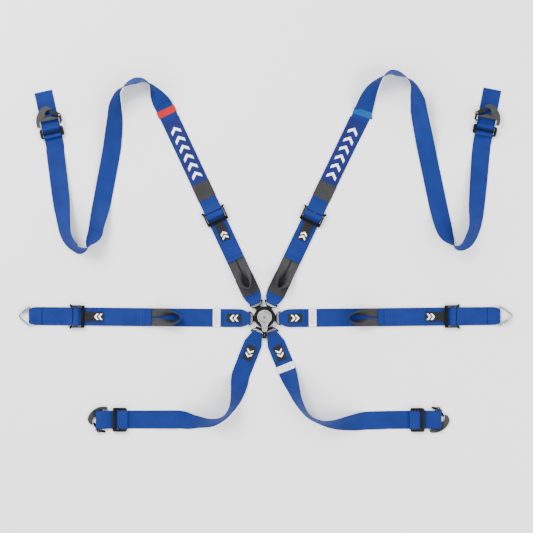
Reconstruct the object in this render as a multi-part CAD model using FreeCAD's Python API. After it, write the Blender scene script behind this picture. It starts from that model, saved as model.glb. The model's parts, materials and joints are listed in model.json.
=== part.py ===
import FreeCAD, Part
import math
import os

# Six-point racing harness laid out flat. Millimetres, +Z up, origin at the centre of the
# rotary buckle's back face. Shoulder straps run towards +Y, lap straps along X, crotch straps
# towards -Y. Every strap is described from the buckle outwards: s is the distance along it,
# v is the distance to the left of that direction, z is the height above the surface.

V = FreeCAD.Vector

# webbing
WEB_WIDTH = 50.0
WEB_THICK = 1.3
LAYER_GAP = 0.3
Z_LOW = WEB_THICK / 2                      # centre of the layer that lies on the surface
Z_MID = Z_LOW + WEB_THICK + LAYER_GAP      # centre of the second layer
Z_TOP = Z_MID + WEB_THICK + LAYER_GAP      # centre of the third layer
WRAP = LAYER_GAP + WEB_THICK / 2           # from a bar's face to the webbing's centre
ROLL_CLEARANCE = 1.1                       # keeps a rolling strap's lower edge off the surface
NECK_WIDTH = 25.0                          # webbing gathered into a tongue
FOLD_R = 0.95                              # centre line of a folded hem
HEM = {"shoulder": 9.0, "lap": 14.0}

# rotary buckle
BUCKLE_R = 29.0
BASE_H = 3.0
HOUSING_TOP = 17.0
HOUSING_WALL = 3.0
ROOF_H = 2.6
SPINDLE_R = 4.0
LEVER_HEAD_R = 19.5
LEVER_REACH = 40.5
LEVER_WIDTH = 14.0
LEVER_Z = HOUSING_TOP + 0.5
LEVER_H = 5.0
LATCH_R = 20.5
LATCH_PIN_R = 2.0
SPRING_IN = 4.6
SPRING_PITCH = 1.5
SPRING_WIRE = 0.6
SPRING_STEPS = 24
SCREW_ANGLES = (27.0, 159.5, 229.0, 311.0)
SCREW_R = 24.0

# tongues
TONGUE_Z = 3.3
TONGUE_THICK = 3.0
TONGUE_HALF = 19.5
INSERT_HALF = 8.5
INSERT_END = 17.0
SLOT_OUT = 40.0
BAR_DEPTH = 5.0
CROTCH_SLOT_OUT = 45.0
# width of the webbing on a tongue's bar, just past it and where it is nearly flat
GATHER = {SLOT_OUT: (33.0, 41.0, 47.0), CROTCH_SLOT_OUT: (29.0, 35.0, 44.0)}
SEWN_END = {"shoulder": 118.0, "lap": 112.0}

# directions of the straps at the buckle: start point and heading in degrees
SHOULDER_AXIS = {"left": ((-6.0, 0.0), 115.0), "right": ((0.0, 0.0), 64.5)}
LAP_AXIS = {"left": ((0.0, -4.3), 179.4), "right": ((0.0, -4.3), 0.6)}
CROTCH_AXIS = {"left": ((-2.0, 0.0), 248.0), "right": ((2.0, 0.0), 292.0)}

# strap adjusters, measured from their lock bar
LOCK_S = {"shoulder": 306.0, "lap": 515.0}
TAIL_END = {"shoulder": 173.0, "lap": 312.0}
LOOP_TIP = {"shoulder": 88.0, "lap": 230.0}
LOOP_WIDTH = 25.0
LOOP_TIP_ROLL = 80
# along a pull loop from its sewn root: share of the way to the tip, height of its lower edge,
# then distance from the strap's middle and roll in degrees, for the outer and the inner half
LOOP_SHAPE = {
    "shoulder": [(-0.11, Z_MID, 12.8, 0, 12.8, 0), (0.03, Z_MID, 12.9, 0, 12.9, 0),
                 (0.16, Z_MID, 13.6, 3, 13.6, 3),
                 (0.36, Z_MID, 13.4, 8, 13.2, 10), (0.48, 3.4, 12.4, 14, 12.2, 18),
                 (0.60, 4.7, 13.2, 26, 11.8, 36), (0.79, 4.7, 13.2, 42, 10.2, 58),
                 (0.90, 4.7, 9.6, 60, 7.0, 72), (0.97, 4.7, 4.6, 76, 3.6, 79)],
    "lap": [(-0.13, Z_MID, 12.8, 0, 12.8, 0), (0.03, Z_MID, 12.9, 0, 12.9, 0),
            (0.30, Z_MID, 14.0, 20, 13.8, 24), (0.55, Z_MID, 15.2, 40, 14.6, 48),
            (0.72, Z_MID, 15.0, 58, 13.6, 66), (0.85, Z_MID, 12.0, 72, 10.6, 75),
            (0.95, Z_MID, 6.2, 79, 5.8, 79)],
}
LOCK_R = 3.0
LOCK_Z = 4.6
LOCK_DEPTH = 7.0                           # between the two round edges of the flat lock bar
LOCK_HALF = 26.0
CROSSBAR = (-20.5, -11.0)
REAR_BAR = 16.0
REAR_R = 2.4
REAR_Z = Z_LOW + REAR_R + WRAP
RAIL_IN = 27.2
RAIL_OUT = 31.0
HORN_OUT = 34.5
TAB_LENGTH = 63.0
TAB_WIDTH = 26.0

# sliders and snap hooks
SLIDER_HALF_WIDTH = 33.0
SLIDER_RAIL_IN = 26.0
SLIDER_BAR = 4.0
SLIDER_HOOK_BAR = {"shoulder": (9.5, 13.5), "crotch": (10.8, 20.5)}
SLIDER_PITCH = {"shoulder": 11.5, "crotch": 17.0}
SLIDER_TO_HOOK = {"shoulder": 33.0, "crotch": 49.5}
HOOK_PLATE = 4.0
HOOK_BAR_U = 13.0
HOOK_BAR_R = 2.5
HOOK_BAR_DROP = HOOK_BAR_R + WRAP + WEB_THICK / 2 + LAYER_GAP
GATE_PIVOT = (9.0, 30.5)
GATE_TIP = (22.6, 10.5)
GATE_THUMB = (-7.0, 33.0)
GATE_CAP = [(26.5, 7.0), (24.6, 15.0), (20.5, 24.0), (14.0, 31.5), (4.0, 35.0), (-6.0, 35.4),
            (-13.5, 32.0), (-15.0, 28.0), (-12.0, 27.4), (-5.0, 29.6), (2.0, 29.0), (6.5, 25.5),
            (11.0, 18.5), (15.0, 11.0), (18.0, 6.0)]
TAIL_REACH = 116.0

# lap anchor links
LINK_BAR_S = 644.0
LINK_WIRE_R = 2.4
LINK_SLEEVE_R = 4.5
LINK_Z = LINK_SLEEVE_R + 0.1
LINK_HALF = 29.0
LINK_REACH = {"left": 33.0, "right": 41.0}
LINK_END_WIDTH = 40.0

# free routes of the long straps: x, y and roll in degrees (positive lifts the left edge)
SHOULDER_ROUTE = {
    "left": [(-277, 579, 0), (-314.6, 636, -88), (-352, 646, -120), (-396, 619, -90),
             (-408, 582, -57), (-410, 541, -38), (-416, 486, -21), (-420, 458, -12),
             (-446, 321, 0), (-460, 252, 26), (-466, 224, 31), (-478.5, 199, 64),
             (-486, 188, 90), (-508, 184.5, 117), (-520, 192, 122), (-535.5, 209, 130),
             (-545, 230, 136), (-549.5, 256, 144), (-553, 283, 153), (-558.5, 321, 168),
             (-576, 458, 180)],
    "right": [(267.5, 555, 0), (291.5, 618, 46), (324.5, 656, 90), (356, 668, 118),
              (400, 643, 90), (418, 596, 48), (423, 563, 31), (433, 513, 23),
              (451, 431, 0), (474, 321, 0), (489.5, 252, -15), (501, 216, -45),
              (521, 194, -90), (540, 195, -120), (558.5, 208, -132), (575, 246, -139),
              (582, 311, -160), (594, 445, -180)],
}
SHOULDER_SLIDER = {"left": ((-584.0, 506.5), 102.5), "right": ((604.5, 512.5), 79.0)}
CROTCH_ROUTE = {
    "left": [(-66, -160, 0), (-73, -202, -37), (-80, -229, -55), (-91, -253, -69),
             (-110, -275, -72), (-146, -288.5, -57), (-188, -286, -39), (-235, -282.5, 0),
             (-320, -282.5, 0)],
    "right": [(59, -140, 0), (76.5, -188, 40), (92, -229, 61), (118, -269, 74),
              (152, -287, 71), (190, -293, 53), (235, -290, 27), (282, -285.5, 0),
              (345, -283.5, 0)],
}
CROTCH_SLIDER = {"left": ((-397.0, -282.5), 180.0), "right": ((419.0, -283.0), 0.5)}
MIRRORED = {"left": True, "right": False}
OUTER_HALF = {"left": 1.0, "right": -1.0}  # which half of a pull loop lies flatter


def save(shape, name):
    """Write one sub-part."""
    shape.exportStep("parts/" + name + ".step")


def unit(degrees):
    angle = math.radians(degrees)
    return V(math.cos(angle), math.sin(angle), 0)


class Axis:
    """A strap's own frame: s outwards, v to the left, z up."""

    def __init__(self, start, heading):
        self.start = V(start[0], start[1], 0)
        self.heading = heading
        self.out = unit(heading)
        self.left = unit(heading + 90)

    def point(self, s, v, z):
        return self.start + self.out * s + self.left * v + V(0, 0, z)

    def place(self, shape, s=0.0, z=0.0):
        """Move a shape made at the origin, along +X, to distance s."""
        moved = shape.copy()
        moved.Placement = FreeCAD.Placement(self.point(s, 0, z),
                                            FreeCAD.Rotation(V(0, 0, 1), self.heading))
        return moved


# ---------------------------------------------------------------- webbing

def blend_points(points, steps):
    """Smooth curve through points of any dimension, with tangents from uneven spacing."""
    def gap(a, b):
        return math.dist(a[:2], b[:2])

    slopes = []
    for i, here in enumerate(points):
        before = points[max(i - 1, 0)]
        after = points[min(i + 1, len(points) - 1)]
        span = gap(before, here) + gap(here, after)
        slopes.append([(b - a) / span for a, b in zip(before, after)])
    out = []
    for i in range(len(points) - 1):
        a, b = points[i], points[i + 1]
        length = gap(a, b)
        for k in range(steps):
            t = k / steps
            h = (2 * t**3 - 3 * t**2 + 1, t**3 - 2 * t**2 + t, 3 * t**2 - 2 * t**3, t**3 - t**2)
            out.append([h[0] * p + h[1] * length * m + h[2] * q + h[3] * length * n
                        for p, m, q, n in zip(a, slopes[i], b, slopes[i + 1])])
    out.append(list(points[-1]))
    return out


def route_stations(route, steps=3):
    """Webbing stations along a free route that rolls about its own centre line."""
    points = blend_points(route, steps)
    stations = []
    for i, (x, y, roll) in enumerate(points):
        before = points[max(i - 1, 0)]
        after = points[min(i + 1, len(points) - 1)]
        heading = math.degrees(math.atan2(after[1] - before[1], after[0] - before[0]))
        lift = abs(math.sin(math.radians(roll)))
        z = Z_LOW + WEB_WIDTH / 2 * lift + ROLL_CLEARANCE * min(1.0, 3.0 * lift)
        turn = math.radians(roll)
        across = unit(heading + 90) * math.cos(turn) + V(0, 0, math.sin(turn))
        stations.append((V(x, y, z), across, WEB_WIDTH))
    return stations


def profile_stations(axis, profile, side=1.0):
    """Webbing stations from (s, z, width) points in a strap's own vertical plane."""
    return [(axis.point(s, 0, z), axis.left * side, width) for s, z, width in profile]


def wrap(s, z, radius, first, last, width=WEB_WIDTH, steps=8):
    """Profile points round a bar at (s, z), from one angle to another in degrees."""
    out = []
    for k in range(steps + 1):
        angle = math.radians(first + (last - first) * k / steps)
        out.append((s + radius * math.cos(angle), z + radius * math.sin(angle), width))
    return out


def ribbon(stations, thickness=WEB_THICK):
    """A closed strip of webbing through its stations: (centre, across, width)."""
    rows = []
    for i, (centre, across, width) in enumerate(stations):
        back = centre - stations[max(i - 1, 0)][0]
        ahead = stations[min(i + 1, len(stations) - 1)][0] - centre
        if back.Length < 1e-9:
            back = V(ahead)
        if ahead.Length < 1e-9:
            ahead = V(back)
        back.normalize()
        ahead.normalize()
        along = back + ahead
        along.normalize()
        half = thickness / 2 / max(along.dot(ahead), 0.6)
        side = across - along * across.dot(along)
        side.normalize()
        side = side * (width / 2)
        up = side.cross(along)
        up.normalize()
        up = up * half
        rows.append([centre + side + up, centre - side + up, centre - side - up, centre + side - up])
    faces = [Part.Face(Part.makePolygon(row + [row[0]])) for row in (rows[0], rows[-1])]
    for low, high in zip(rows, rows[1:]):
        for k in range(4):
            a, b, c, d = low[k], low[(k + 1) % 4], high[(k + 1) % 4], high[k]
            # both broad faces are split along the same diagonal, so a twist keeps its thickness
            halves = ((a, b, d), (b, c, d)) if k == 2 else ((a, b, c), (a, c, d))
            for corners in halves:
                faces.append(Part.Face(Part.makePolygon(list(corners) + [corners[0]])))
    shell = Part.makeShell(faces)
    shell.sewShape()
    solid = Part.makeSolid(shell)
    if solid.Volume < 0:
        solid.reverse()
    return solid


# ---------------------------------------------------------------- plain shapes

def plate(points, z0, z1):
    """Flat plate with a polygon outline."""
    wire = Part.makePolygon([V(x, y, z0) for x, y in points] + [V(points[0][0], points[0][1], z0)])
    return Part.Face(wire).extrude(V(0, 0, z1 - z0))


def block(x0, x1, y0, y1, z0, z1):
    return Part.makeBox(x1 - x0, y1 - y0, z1 - z0, V(x0, y0, z0))


def disc(radius, z0, z1, x=0.0, y=0.0):
    return Part.makeCylinder(radius, z1 - z0, V(x, y, z0), V(0, 0, 1))


def cross_rod(radius, half, x, z):
    """Round bar across the strap."""
    return Part.makeCylinder(radius, 2 * half, V(x, -half, z), V(0, 1, 0))


def soften(shape, radius):
    """Round every sharp edge a little, as a stamped and tumbled part has."""
    try:
        softened = shape.makeFillet(radius, shape.Edges)
        if softened.isValid() and softened.Volume > 0:
            return softened
    except Exception:
        print("kept sharp edges, radius", radius)
    return shape


# ---------------------------------------------------------------- buckle

def all_tongue_axes():
    axes = [Axis(*SHOULDER_AXIS[side]) for side in ("left", "right")]
    axes += [Axis(*LAP_AXIS[side]) for side in ("left", "right")]
    axes.append(Axis((0, 0), 270.0))
    return axes


def screw_places():
    return [unit(angle) * SCREW_R for angle in SCREW_ANGLES]


def make_buckle_base():
    base = disc(BUCKLE_R, 0, BASE_H)
    base = base.makeFillet(0.8, [e for e in base.Edges if abs(e.BoundBox.ZMin) < 1e-6
                                 and isinstance(e.Curve, Part.Circle)])
    base = base.fuse(disc(SPINDLE_R + 4.0, BASE_H, BASE_H + 2.0))
    base = base.cut(disc(SPINDLE_R + 0.05, BASE_H - 1.5, BASE_H + 2.0))
    for place in screw_places():
        base = base.cut(disc(1.6, 0, BASE_H, place.x, place.y))
        base = base.cut(disc(3.0, 0, 1.4, place.x, place.y))
    save(base, "buckle_base")


def make_buckle_housing():
    shell = disc(BUCKLE_R, BASE_H, HOUSING_TOP)
    shell = shell.makeFillet(2.5, [e for e in shell.Edges if e.BoundBox.ZMin > HOUSING_TOP - 1e-3])
    shell = shell.cut(disc(BUCKLE_R - HOUSING_WALL, BASE_H, HOUSING_TOP - ROOF_H))
    for place in screw_places():
        shell = shell.fuse(disc(3.2, BASE_H, HOUSING_TOP - ROOF_H, place.x, place.y))
        shell = shell.cut(disc(1.3, BASE_H, BASE_H + 8.0, place.x, place.y))
    for axis in all_tongue_axes():
        mouth = block(INSERT_END, BUCKLE_R + 8.0, -INSERT_HALF - 0.6, INSERT_HALF + 0.6,
                      BASE_H, TONGUE_Z + TONGUE_THICK + 0.5)
        shell = shell.cut(axis.place(mouth))
    shell = shell.cut(disc(SPINDLE_R + 0.06, HOUSING_TOP - ROOF_H, HOUSING_TOP))
    groove = disc(BUCKLE_R - 3.4, HOUSING_TOP - 0.5, HOUSING_TOP).cut(
        disc(BUCKLE_R - 4.4, HOUSING_TOP - 0.5, HOUSING_TOP))
    save(shell.cut(groove), "buckle_housing")


def make_buckle_works():
    """Cam, spindle, spring and latch pins inside the housing."""
    roof_under = HOUSING_TOP - ROOF_H
    spindle = disc(SPINDLE_R, BASE_H - 1.3, LEVER_Z + LEVER_H - 1.0)
    save(spindle.cut(disc(1.5, LEVER_Z - 6.0, LEVER_Z + LEVER_H)), "buckle_spindle")
    cam = disc(19.0, roof_under - 2.0, roof_under - 0.4)
    for angle in range(0, 360, 72):
        lobe = unit(angle + 54) * 19.0
        cam = cam.fuse(disc(5.5, roof_under - 2.0, roof_under - 0.4, lobe.x, lobe.y))
    cam = cam.common(disc(24.8, 0, HOUSING_TOP))
    cam = cam.cut(disc(SCREW_R + 8.0, 0, HOUSING_TOP).cut(disc(20.3, 0, HOUSING_TOP)))
    save(cam.cut(disc(SPINDLE_R, 0, HOUSING_TOP)), "buckle_cam")
    turns = [(SPRING_IN + SPRING_PITCH * k / SPRING_STEPS, 360.0 * k / SPRING_STEPS)
             for k in range(3 * SPRING_STEPS + 1)]
    spiral = [unit(angle) * radius for radius, angle in turns]
    spiral += [unit(angle) * (radius + SPRING_WIRE) for radius, angle in reversed(turns)]
    save(plate([(p.x, p.y) for p in spiral], BASE_H + 2.6, BASE_H + 6.6), "buckle_return_spring")
    pins = []
    for axis in all_tongue_axes():
        place = axis.point(LATCH_R, 0, 0)
        pins.append(disc(LATCH_PIN_R, TONGUE_Z + TONGUE_THICK + 0.3, roof_under - 4.4,
                         place.x, place.y))
    save(Part.makeCompound(pins), "buckle_latch_pins")
    screws = []
    for place in screw_places():
        head = disc(2.8, 0.2, 1.4, place.x, place.y)
        screws.append(head.fuse(disc(1.25, 1.4, BASE_H + 7.5, place.x, place.y)))
    save(Part.makeCompound(screws), "buckle_screws")


def make_lever():
    top = LEVER_Z + LEVER_H
    head = disc(LEVER_HEAD_R, LEVER_Z, top)
    half = LEVER_WIDTH / 2
    arm = block(-half, half, -LEVER_REACH + half, 0, LEVER_Z, top)
    arm = arm.fuse(disc(half, LEVER_Z, top, 0, -LEVER_REACH + half))
    neck = plate([(-14.5, -12.5), (-10.5, -18), (-8, -23), (-half, -28), (half, -28), (8, -23),
                  (10.5, -18), (14.5, -12.5)], LEVER_Z, top)
    lever = head.fuse(neck).fuse(arm).removeSplitter()
    rims = [e for e in lever.Edges if e.BoundBox.ZMin > top - 1e-3]
    lever = lever.makeFillet(1.4, rims)
    for outer in (16.6, 12.4):
        ring = disc(outer, top - 0.5, top).cut(disc(outer - 0.8, top - 0.5, top))
        lever = lever.cut(ring)
    for k in range(3):
        y = -LEVER_REACH + 5.0 + 3.2 * k
        lever = lever.cut(block(-4.6, 4.6, y, y + 1.2, top - 0.6, top))
    lever = lever.cut(disc(SPINDLE_R, LEVER_Z, top - 1.0))
    lever = lever.cut(disc(4.6, top - 1.0, top))
    save(lever, "buckle_lever")
    cap = disc(4.5, top - 1.0, top + 0.4)
    cap = cap.makeFillet(0.3, [e for e in cap.Edges if e.BoundBox.ZMin > top])
    slot = block(-3.2, 3.2, -0.5, 0.5, top - 0.2, top + 0.4)
    save(cap.fuse(disc(1.45, LEVER_Z - 5.0, top - 1.0)).cut(slot), "buckle_lever_screw")


def tongue_outline(slot_out):
    """Outline of a tongue: narrow insert, then a bowed loop that holds the webbing."""
    half = TONGUE_HALF
    bar_out = slot_out + BAR_DEPTH
    upper = [(INSERT_END, INSERT_HALF - 1.5), (INSERT_END + 1.5, INSERT_HALF),
             (slot_out - 9.5, INSERT_HALF), (slot_out - 8.0, 11.5), (slot_out - 5.0, 15.0),
             (slot_out - 2.0, 18.2), (slot_out + 1.0, half), (bar_out - 2.0, half),
             (bar_out - 0.6, half - 0.8), (bar_out, half - 2.5)]
    return upper + [(s, -v) for s, v in reversed(upper)]


def slot_outline(slot_out):
    upper = [(slot_out - 6.6, 7.0), (slot_out - 5.6, 10.2), (slot_out - 3.2, 13.2),
             (slot_out - 0.8, 15.2), (slot_out, 15.2)]
    return upper + [(s, -v) for s, v in reversed(upper)]


def make_tongue(axis, name):
    top = TONGUE_Z + TONGUE_THICK
    body = plate(tongue_outline(SLOT_OUT), TONGUE_Z, top)
    body = soften(body.cut(plate(slot_outline(SLOT_OUT), TONGUE_Z, top)), 0.5)
    body = body.cut(disc(LATCH_PIN_R + 0.4, TONGUE_Z, top, LATCH_R, 0))
    save(axis.place(body), name)


def make_crotch_tongue():
    """One plate that carries both crotch straps: two bowed loops and a stub between them."""
    top = TONGUE_Z + TONGUE_THICK
    centre = Axis((0, 0), 270.0)
    out = CROTCH_SLOT_OUT
    axes = [Axis(*CROTCH_AXIS[side]) for side in ("left", "right")]
    upper = [(INSERT_END, INSERT_HALF), (32, INSERT_HALF), (38, 12), (50, 6.6), (56, 6.2), (59.5, 5.0)]
    body = centre.place(plate(upper + [(s, -v) for s, v in reversed(upper)], TONGUE_Z, top))
    upper = [p for p in tongue_outline(out) if p[0] > out - 9.0 and p[1] > 0]
    loop = [(31, 9)] + upper + [(s, -v) for s, v in reversed(upper)] + [(31, -9)]
    for axis in axes:
        body = body.fuse(axis.place(plate(loop, TONGUE_Z, top)))
    for axis in axes:
        body = body.cut(axis.place(plate(slot_outline(out), TONGUE_Z, top)))
    body = soften(body.removeSplitter(), 0.4)
    body = body.cut(centre.place(plate([(47.0, 0), (51.5, 2.6), (51.5, -2.6)], TONGUE_Z, top)))
    body = body.cut(centre.place(disc(LATCH_PIN_R + 0.4, TONGUE_Z, top, LATCH_R, 0)))
    save(body, "crotch_tongue")


# ---------------------------------------------------------------- webbing with loops

def neck_profile(slot_out, full_at, end_at):
    """Webbing from its sewn end, round the tongue's bar, to where it lies flat again."""
    z_over = TONGUE_Z + TONGUE_THICK + WRAP
    z_under = TONGUE_Z - WRAP
    inner = slot_out - WRAP
    bar_out = slot_out + BAR_DEPTH
    on_bar, past_bar, nearly_flat = GATHER[slot_out]
    return [(end_at, Z_MID, WEB_WIDTH), (full_at + 4.0, Z_MID, WEB_WIDTH),
            (full_at - 5.0, Z_MID + 0.7, nearly_flat),
            (bar_out + 6.0, 0.5 * (Z_MID + z_over), past_bar),
            (bar_out, z_over, on_bar), (inner + 1.0, z_over, NECK_WIDTH + 1.0),
            (inner, z_over - 1.2, NECK_WIDTH), (inner, z_under + 1.2, NECK_WIDTH),
            (inner + 1.0, z_under, NECK_WIDTH + 1.0), (bar_out, z_under, on_bar),
            (bar_out + 7.0, Z_LOW, past_bar), (full_at - 4.0, Z_LOW, nearly_flat),
            (full_at + 4.0, Z_LOW, WEB_WIDTH)]


def tail_profile(lock, tail_end, hem):
    """Webbing along the surface, round the lock bar and back as the tail with its folded hem."""
    radius = LOCK_R + LAYER_GAP / 2 + WEB_THICK / 2
    out = [(lock - 9.0, Z_LOW, WEB_WIDTH)]
    out += wrap(lock + LOCK_DEPTH, LOCK_Z, radius, -90, 90, steps=8)
    out += wrap(lock, LOCK_Z, radius, 90, 185, steps=5)
    out += [(lock - 6.5, Z_MID + 0.3, WEB_WIDTH), (lock - 10.5, Z_MID, WEB_WIDTH),
            (tail_end + hem + 12.0, Z_MID, WEB_WIDTH), (tail_end + hem + 5.0, Z_TOP, WEB_WIDTH)]
    out += wrap(tail_end + FOLD_R, Z_TOP + FOLD_R, FOLD_R, 270, 90, steps=6)
    out.append((tail_end + hem, Z_TOP + 2 * FOLD_R, WEB_WIDTH))
    return out


def rear_profile(lock, sewn_end):
    """Webbing from its sewn end, back over the rear bar, round it and out on the surface."""
    s = lock + REAR_BAR
    ring = wrap(s, REAR_Z, REAR_R + WRAP, 90, 270, steps=10)
    return ([(sewn_end, Z_MID, WEB_WIDTH), (s + 16.0, Z_MID, WEB_WIDTH),
             (s + 6.0, REAR_Z + 2.2, WEB_WIDTH)] + ring + [(s + 12.0, Z_LOW, WEB_WIDTH)])


def make_lower_strap(axis, kind, name):
    """Tongue to adjuster and back as the pull tail."""
    profile = neck_profile(SLOT_OUT, 64.0, SEWN_END[kind])
    profile += tail_profile(LOCK_S[kind], TAIL_END[kind], HEM[kind])
    save(ribbon(profile_stations(axis, profile)), name)


def hook_loop_profile(kind, z_bar, z_in):
    """Webbing in a slider's frame: out under it, round the hook bar, back and through."""
    bar = SLIDER_TO_HOOK[kind] + HOOK_BAR_U
    pitch = SLIDER_PITCH[kind]
    z_slider = slider_height(kind)
    out = [(-pitch - 26.0, Z_LOW, WEB_WIDTH), (-pitch - 14.0, z_in, WEB_WIDTH),
           (pitch + 6.0, z_in, WEB_WIDTH)]
    if z_bar - HOOK_BAR_R - WRAP > z_in + 0.5:
        out.append((SLIDER_TO_HOOK[kind] - 9.0, z_bar - HOOK_BAR_R - WRAP, WEB_WIDTH))
    out += wrap(bar, z_bar, HOOK_BAR_R + WRAP, -90, 90, steps=8)
    over = z_slider + 1.5 + WRAP
    under = z_in + WEB_THICK + LAYER_GAP
    if kind == "shoulder":
        out += wrap(bar, z_bar, HOOK_BAR_R + WRAP, 100, 130, steps=3)
        out += [(bar - 10.5, under + 0.3, WEB_WIDTH), (pitch + 7.5, under + 0.3, WEB_WIDTH),
                (pitch + 2.2, over, WEB_WIDTH), (pitch - 2.2, over, WEB_WIDTH),
                (pitch - 6.6, under, WEB_WIDTH), (-pitch + 6.6, under, WEB_WIDTH),
                (-pitch + 2.4, over, WEB_WIDTH)]
    else:
        out += [(SLIDER_TO_HOOK[kind] - 4.0, z_bar + 1.5, WEB_WIDTH),
                (pitch + 8.0, under, WEB_WIDTH), (pitch - 6.8, under, WEB_WIDTH),
                (3.8, over, WEB_WIDTH)]
    out += wrap(-pitch, z_slider, 2.35 + WRAP, 90, 262, steps=8)
    out.append((-pitch + 5.0, z_slider - 2.35 - WRAP, WEB_WIDTH))
    return out


def slider_height(kind):
    """Height of a slider's bars above the surface."""
    layers = Z_TOP + WEB_THICK / 2 if kind == "shoulder" else Z_MID + WEB_THICK / 2
    return layers + LAYER_GAP + 2.1


def hook_bar_height(kind):
    if kind == "shoulder":
        return Z_MID + HOOK_BAR_R + WRAP
    return HOOK_PLATE + HOOK_BAR_DROP + 0.1


def make_shoulder_main(side):
    """Adjuster to hook: sewn loop, printed run, free route, slider, hook and loose tail."""
    axis = Axis(*SHOULDER_AXIS[side])
    profile = rear_profile(LOCK_S["shoulder"], 352.0) + [(480.0, Z_LOW, WEB_WIDTH)]
    stations = profile_stations(axis, profile) + route_stations(SHOULDER_ROUTE[side])
    end = Axis(*SHOULDER_SLIDER[side])
    profile = hook_loop_profile("shoulder", hook_bar_height("shoulder"), Z_MID)
    stations += profile_stations(end, profile, -1.0)
    tail = [(-SLIDER_PITCH["shoulder"] - 1.0, Z_LOW, WEB_WIDTH), (40.0, Z_LOW, WEB_WIDTH),
            (TAIL_REACH, Z_LOW, WEB_WIDTH)]
    pieces = [ribbon(stations), ribbon(profile_stations(end, tail))]
    save(Part.makeCompound(pieces), "shoulder_%s_main_strap" % side)


def make_crotch_strap(side):
    axis = Axis(*CROTCH_AXIS[side])
    stations = profile_stations(axis, neck_profile(CROTCH_SLOT_OUT, 75.0, 126.0))
    stations += route_stations(CROTCH_ROUTE[side])
    end = Axis(*CROTCH_SLIDER[side])
    stations += profile_stations(end, hook_loop_profile("crotch", hook_bar_height("crotch"), Z_LOW))
    save(ribbon(stations), "crotch_%s_strap" % side)


def make_anchor_strap(side):
    axis = Axis(*LAP_AXIS[side])
    radius = LINK_WIRE_R + WRAP
    profile = rear_profile(LOCK_S["lap"], 611.0)
    profile += [(LINK_BAR_S - 20.0, Z_LOW, WEB_WIDTH), (LINK_BAR_S - 10.0, Z_LOW, WEB_WIDTH - 1),
                (LINK_BAR_S - 4.0, LINK_Z - radius, LINK_END_WIDTH + 5)]
    profile += wrap(LINK_BAR_S, LINK_Z, radius, -90, 90, LINK_END_WIDTH, 8)
    profile += [(LINK_BAR_S - 4.0, LINK_Z + radius - 0.3, LINK_END_WIDTH + 5),
                (LINK_BAR_S - 10.0, LINK_Z + radius - 2.2, WEB_WIDTH - 1),
                (LINK_BAR_S - 18.0, Z_MID, WEB_WIDTH), (613.0, Z_MID, WEB_WIDTH)]
    save(ribbon(profile_stations(axis, profile)), "lap_%s_anchor_strap" % side)


# ---------------------------------------------------------------- adjusters

def make_adjuster(axis, kind, name):
    """Tilting frame, its fabric tab and the loose lock bar inside it."""
    near, far = CROSSBAR
    heel = REAR_BAR + 5.0
    frame = soften(block(near, far, -RAIL_OUT, RAIL_OUT, 3.4, 7.0), 0.7)
    frame = frame.fuse(cross_rod(REAR_R, RAIL_OUT, REAR_BAR, REAR_Z))
    outline = [(near, 2.6), (heel, 1.2), (heel, 7.2), (REAR_BAR - 6.0, 9.0), (near + 3.0, 9.0),
               (near, 7.0)]
    wire = Part.makePolygon([V(x, 0, z) for x, z in outline + [outline[0]]])
    rail = soften(Part.Face(wire).extrude(V(0, RAIL_OUT - RAIL_IN, 0)), 0.5)
    for sign, start in ((1, RAIL_IN), (-1, -RAIL_OUT)):
        moved = rail.copy()
        moved.translate(V(0, start, 0))
        horn = plate([(REAR_BAR - 2.0, sign * (RAIL_OUT - 0.5)), (REAR_BAR + 2.0, sign * HORN_OUT),
                      (heel - 0.6, sign * HORN_OUT), (heel - 0.6, sign * (RAIL_OUT - 0.5))], 2.4, 6.4)
        frame = frame.fuse(moved).fuse(horn)
    save(axis.place(frame, LOCK_S[kind]), name + "_adjuster_frame")
    half = TAB_WIDTH / 2
    root, tip = near - 0.1, near - TAB_LENGTH
    tab = plate([(tip, half - 3), (tip + 3, half), (root, half), (root, -half), (tip + 3, -half),
                 (tip, 3 - half)], 3.4, 5.4)
    save(axis.place(tab, LOCK_S[kind]), name + "_adjuster_tab")
    bar = block(0, LOCK_DEPTH, -LOCK_HALF, LOCK_HALF, LOCK_Z - LOCK_R, LOCK_Z + LOCK_R)
    for x in (0, LOCK_DEPTH):
        bar = bar.fuse(cross_rod(LOCK_R, LOCK_HALF, x, LOCK_Z))
    save(axis.place(bar.removeSplitter(), LOCK_S[kind]), name + "_lock_bar")


def make_pull_loop(axis, kind, name, outer):
    """Grey webbing folded into a finger loop: flat side by side at its root, on edge at its tip."""
    reach = TAIL_END[kind] - LOOP_TIP[kind]
    rows = [(share, z, outer * v, roll) for share, z, v, roll, _, _ in LOOP_SHAPE[kind]]
    rows.append((1.0, rows[-1][1], 0.0, LOOP_TIP_ROLL))
    rows += [(share, z, -outer * v, roll) for share, z, _, _, v, roll in LOOP_SHAPE[kind][::-1]]
    stations = []
    for share, z, v, roll in rows:
        turn = math.radians(roll)
        across = V(0, 0, math.sin(turn)) * outer
        if v == 0:
            across = across - axis.out * (outer * math.cos(turn))
        else:
            across = across + axis.left * (math.copysign(math.cos(turn), v) * outer)
        centre = axis.point(TAIL_END[kind] - share * reach, v, z + LOOP_WIDTH / 2 * math.sin(turn))
        stations.append((centre, across, LOOP_WIDTH))
    save(ribbon(stations), name + "_pull_loop")


# ---------------------------------------------------------------- sliders, hooks and links

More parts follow.
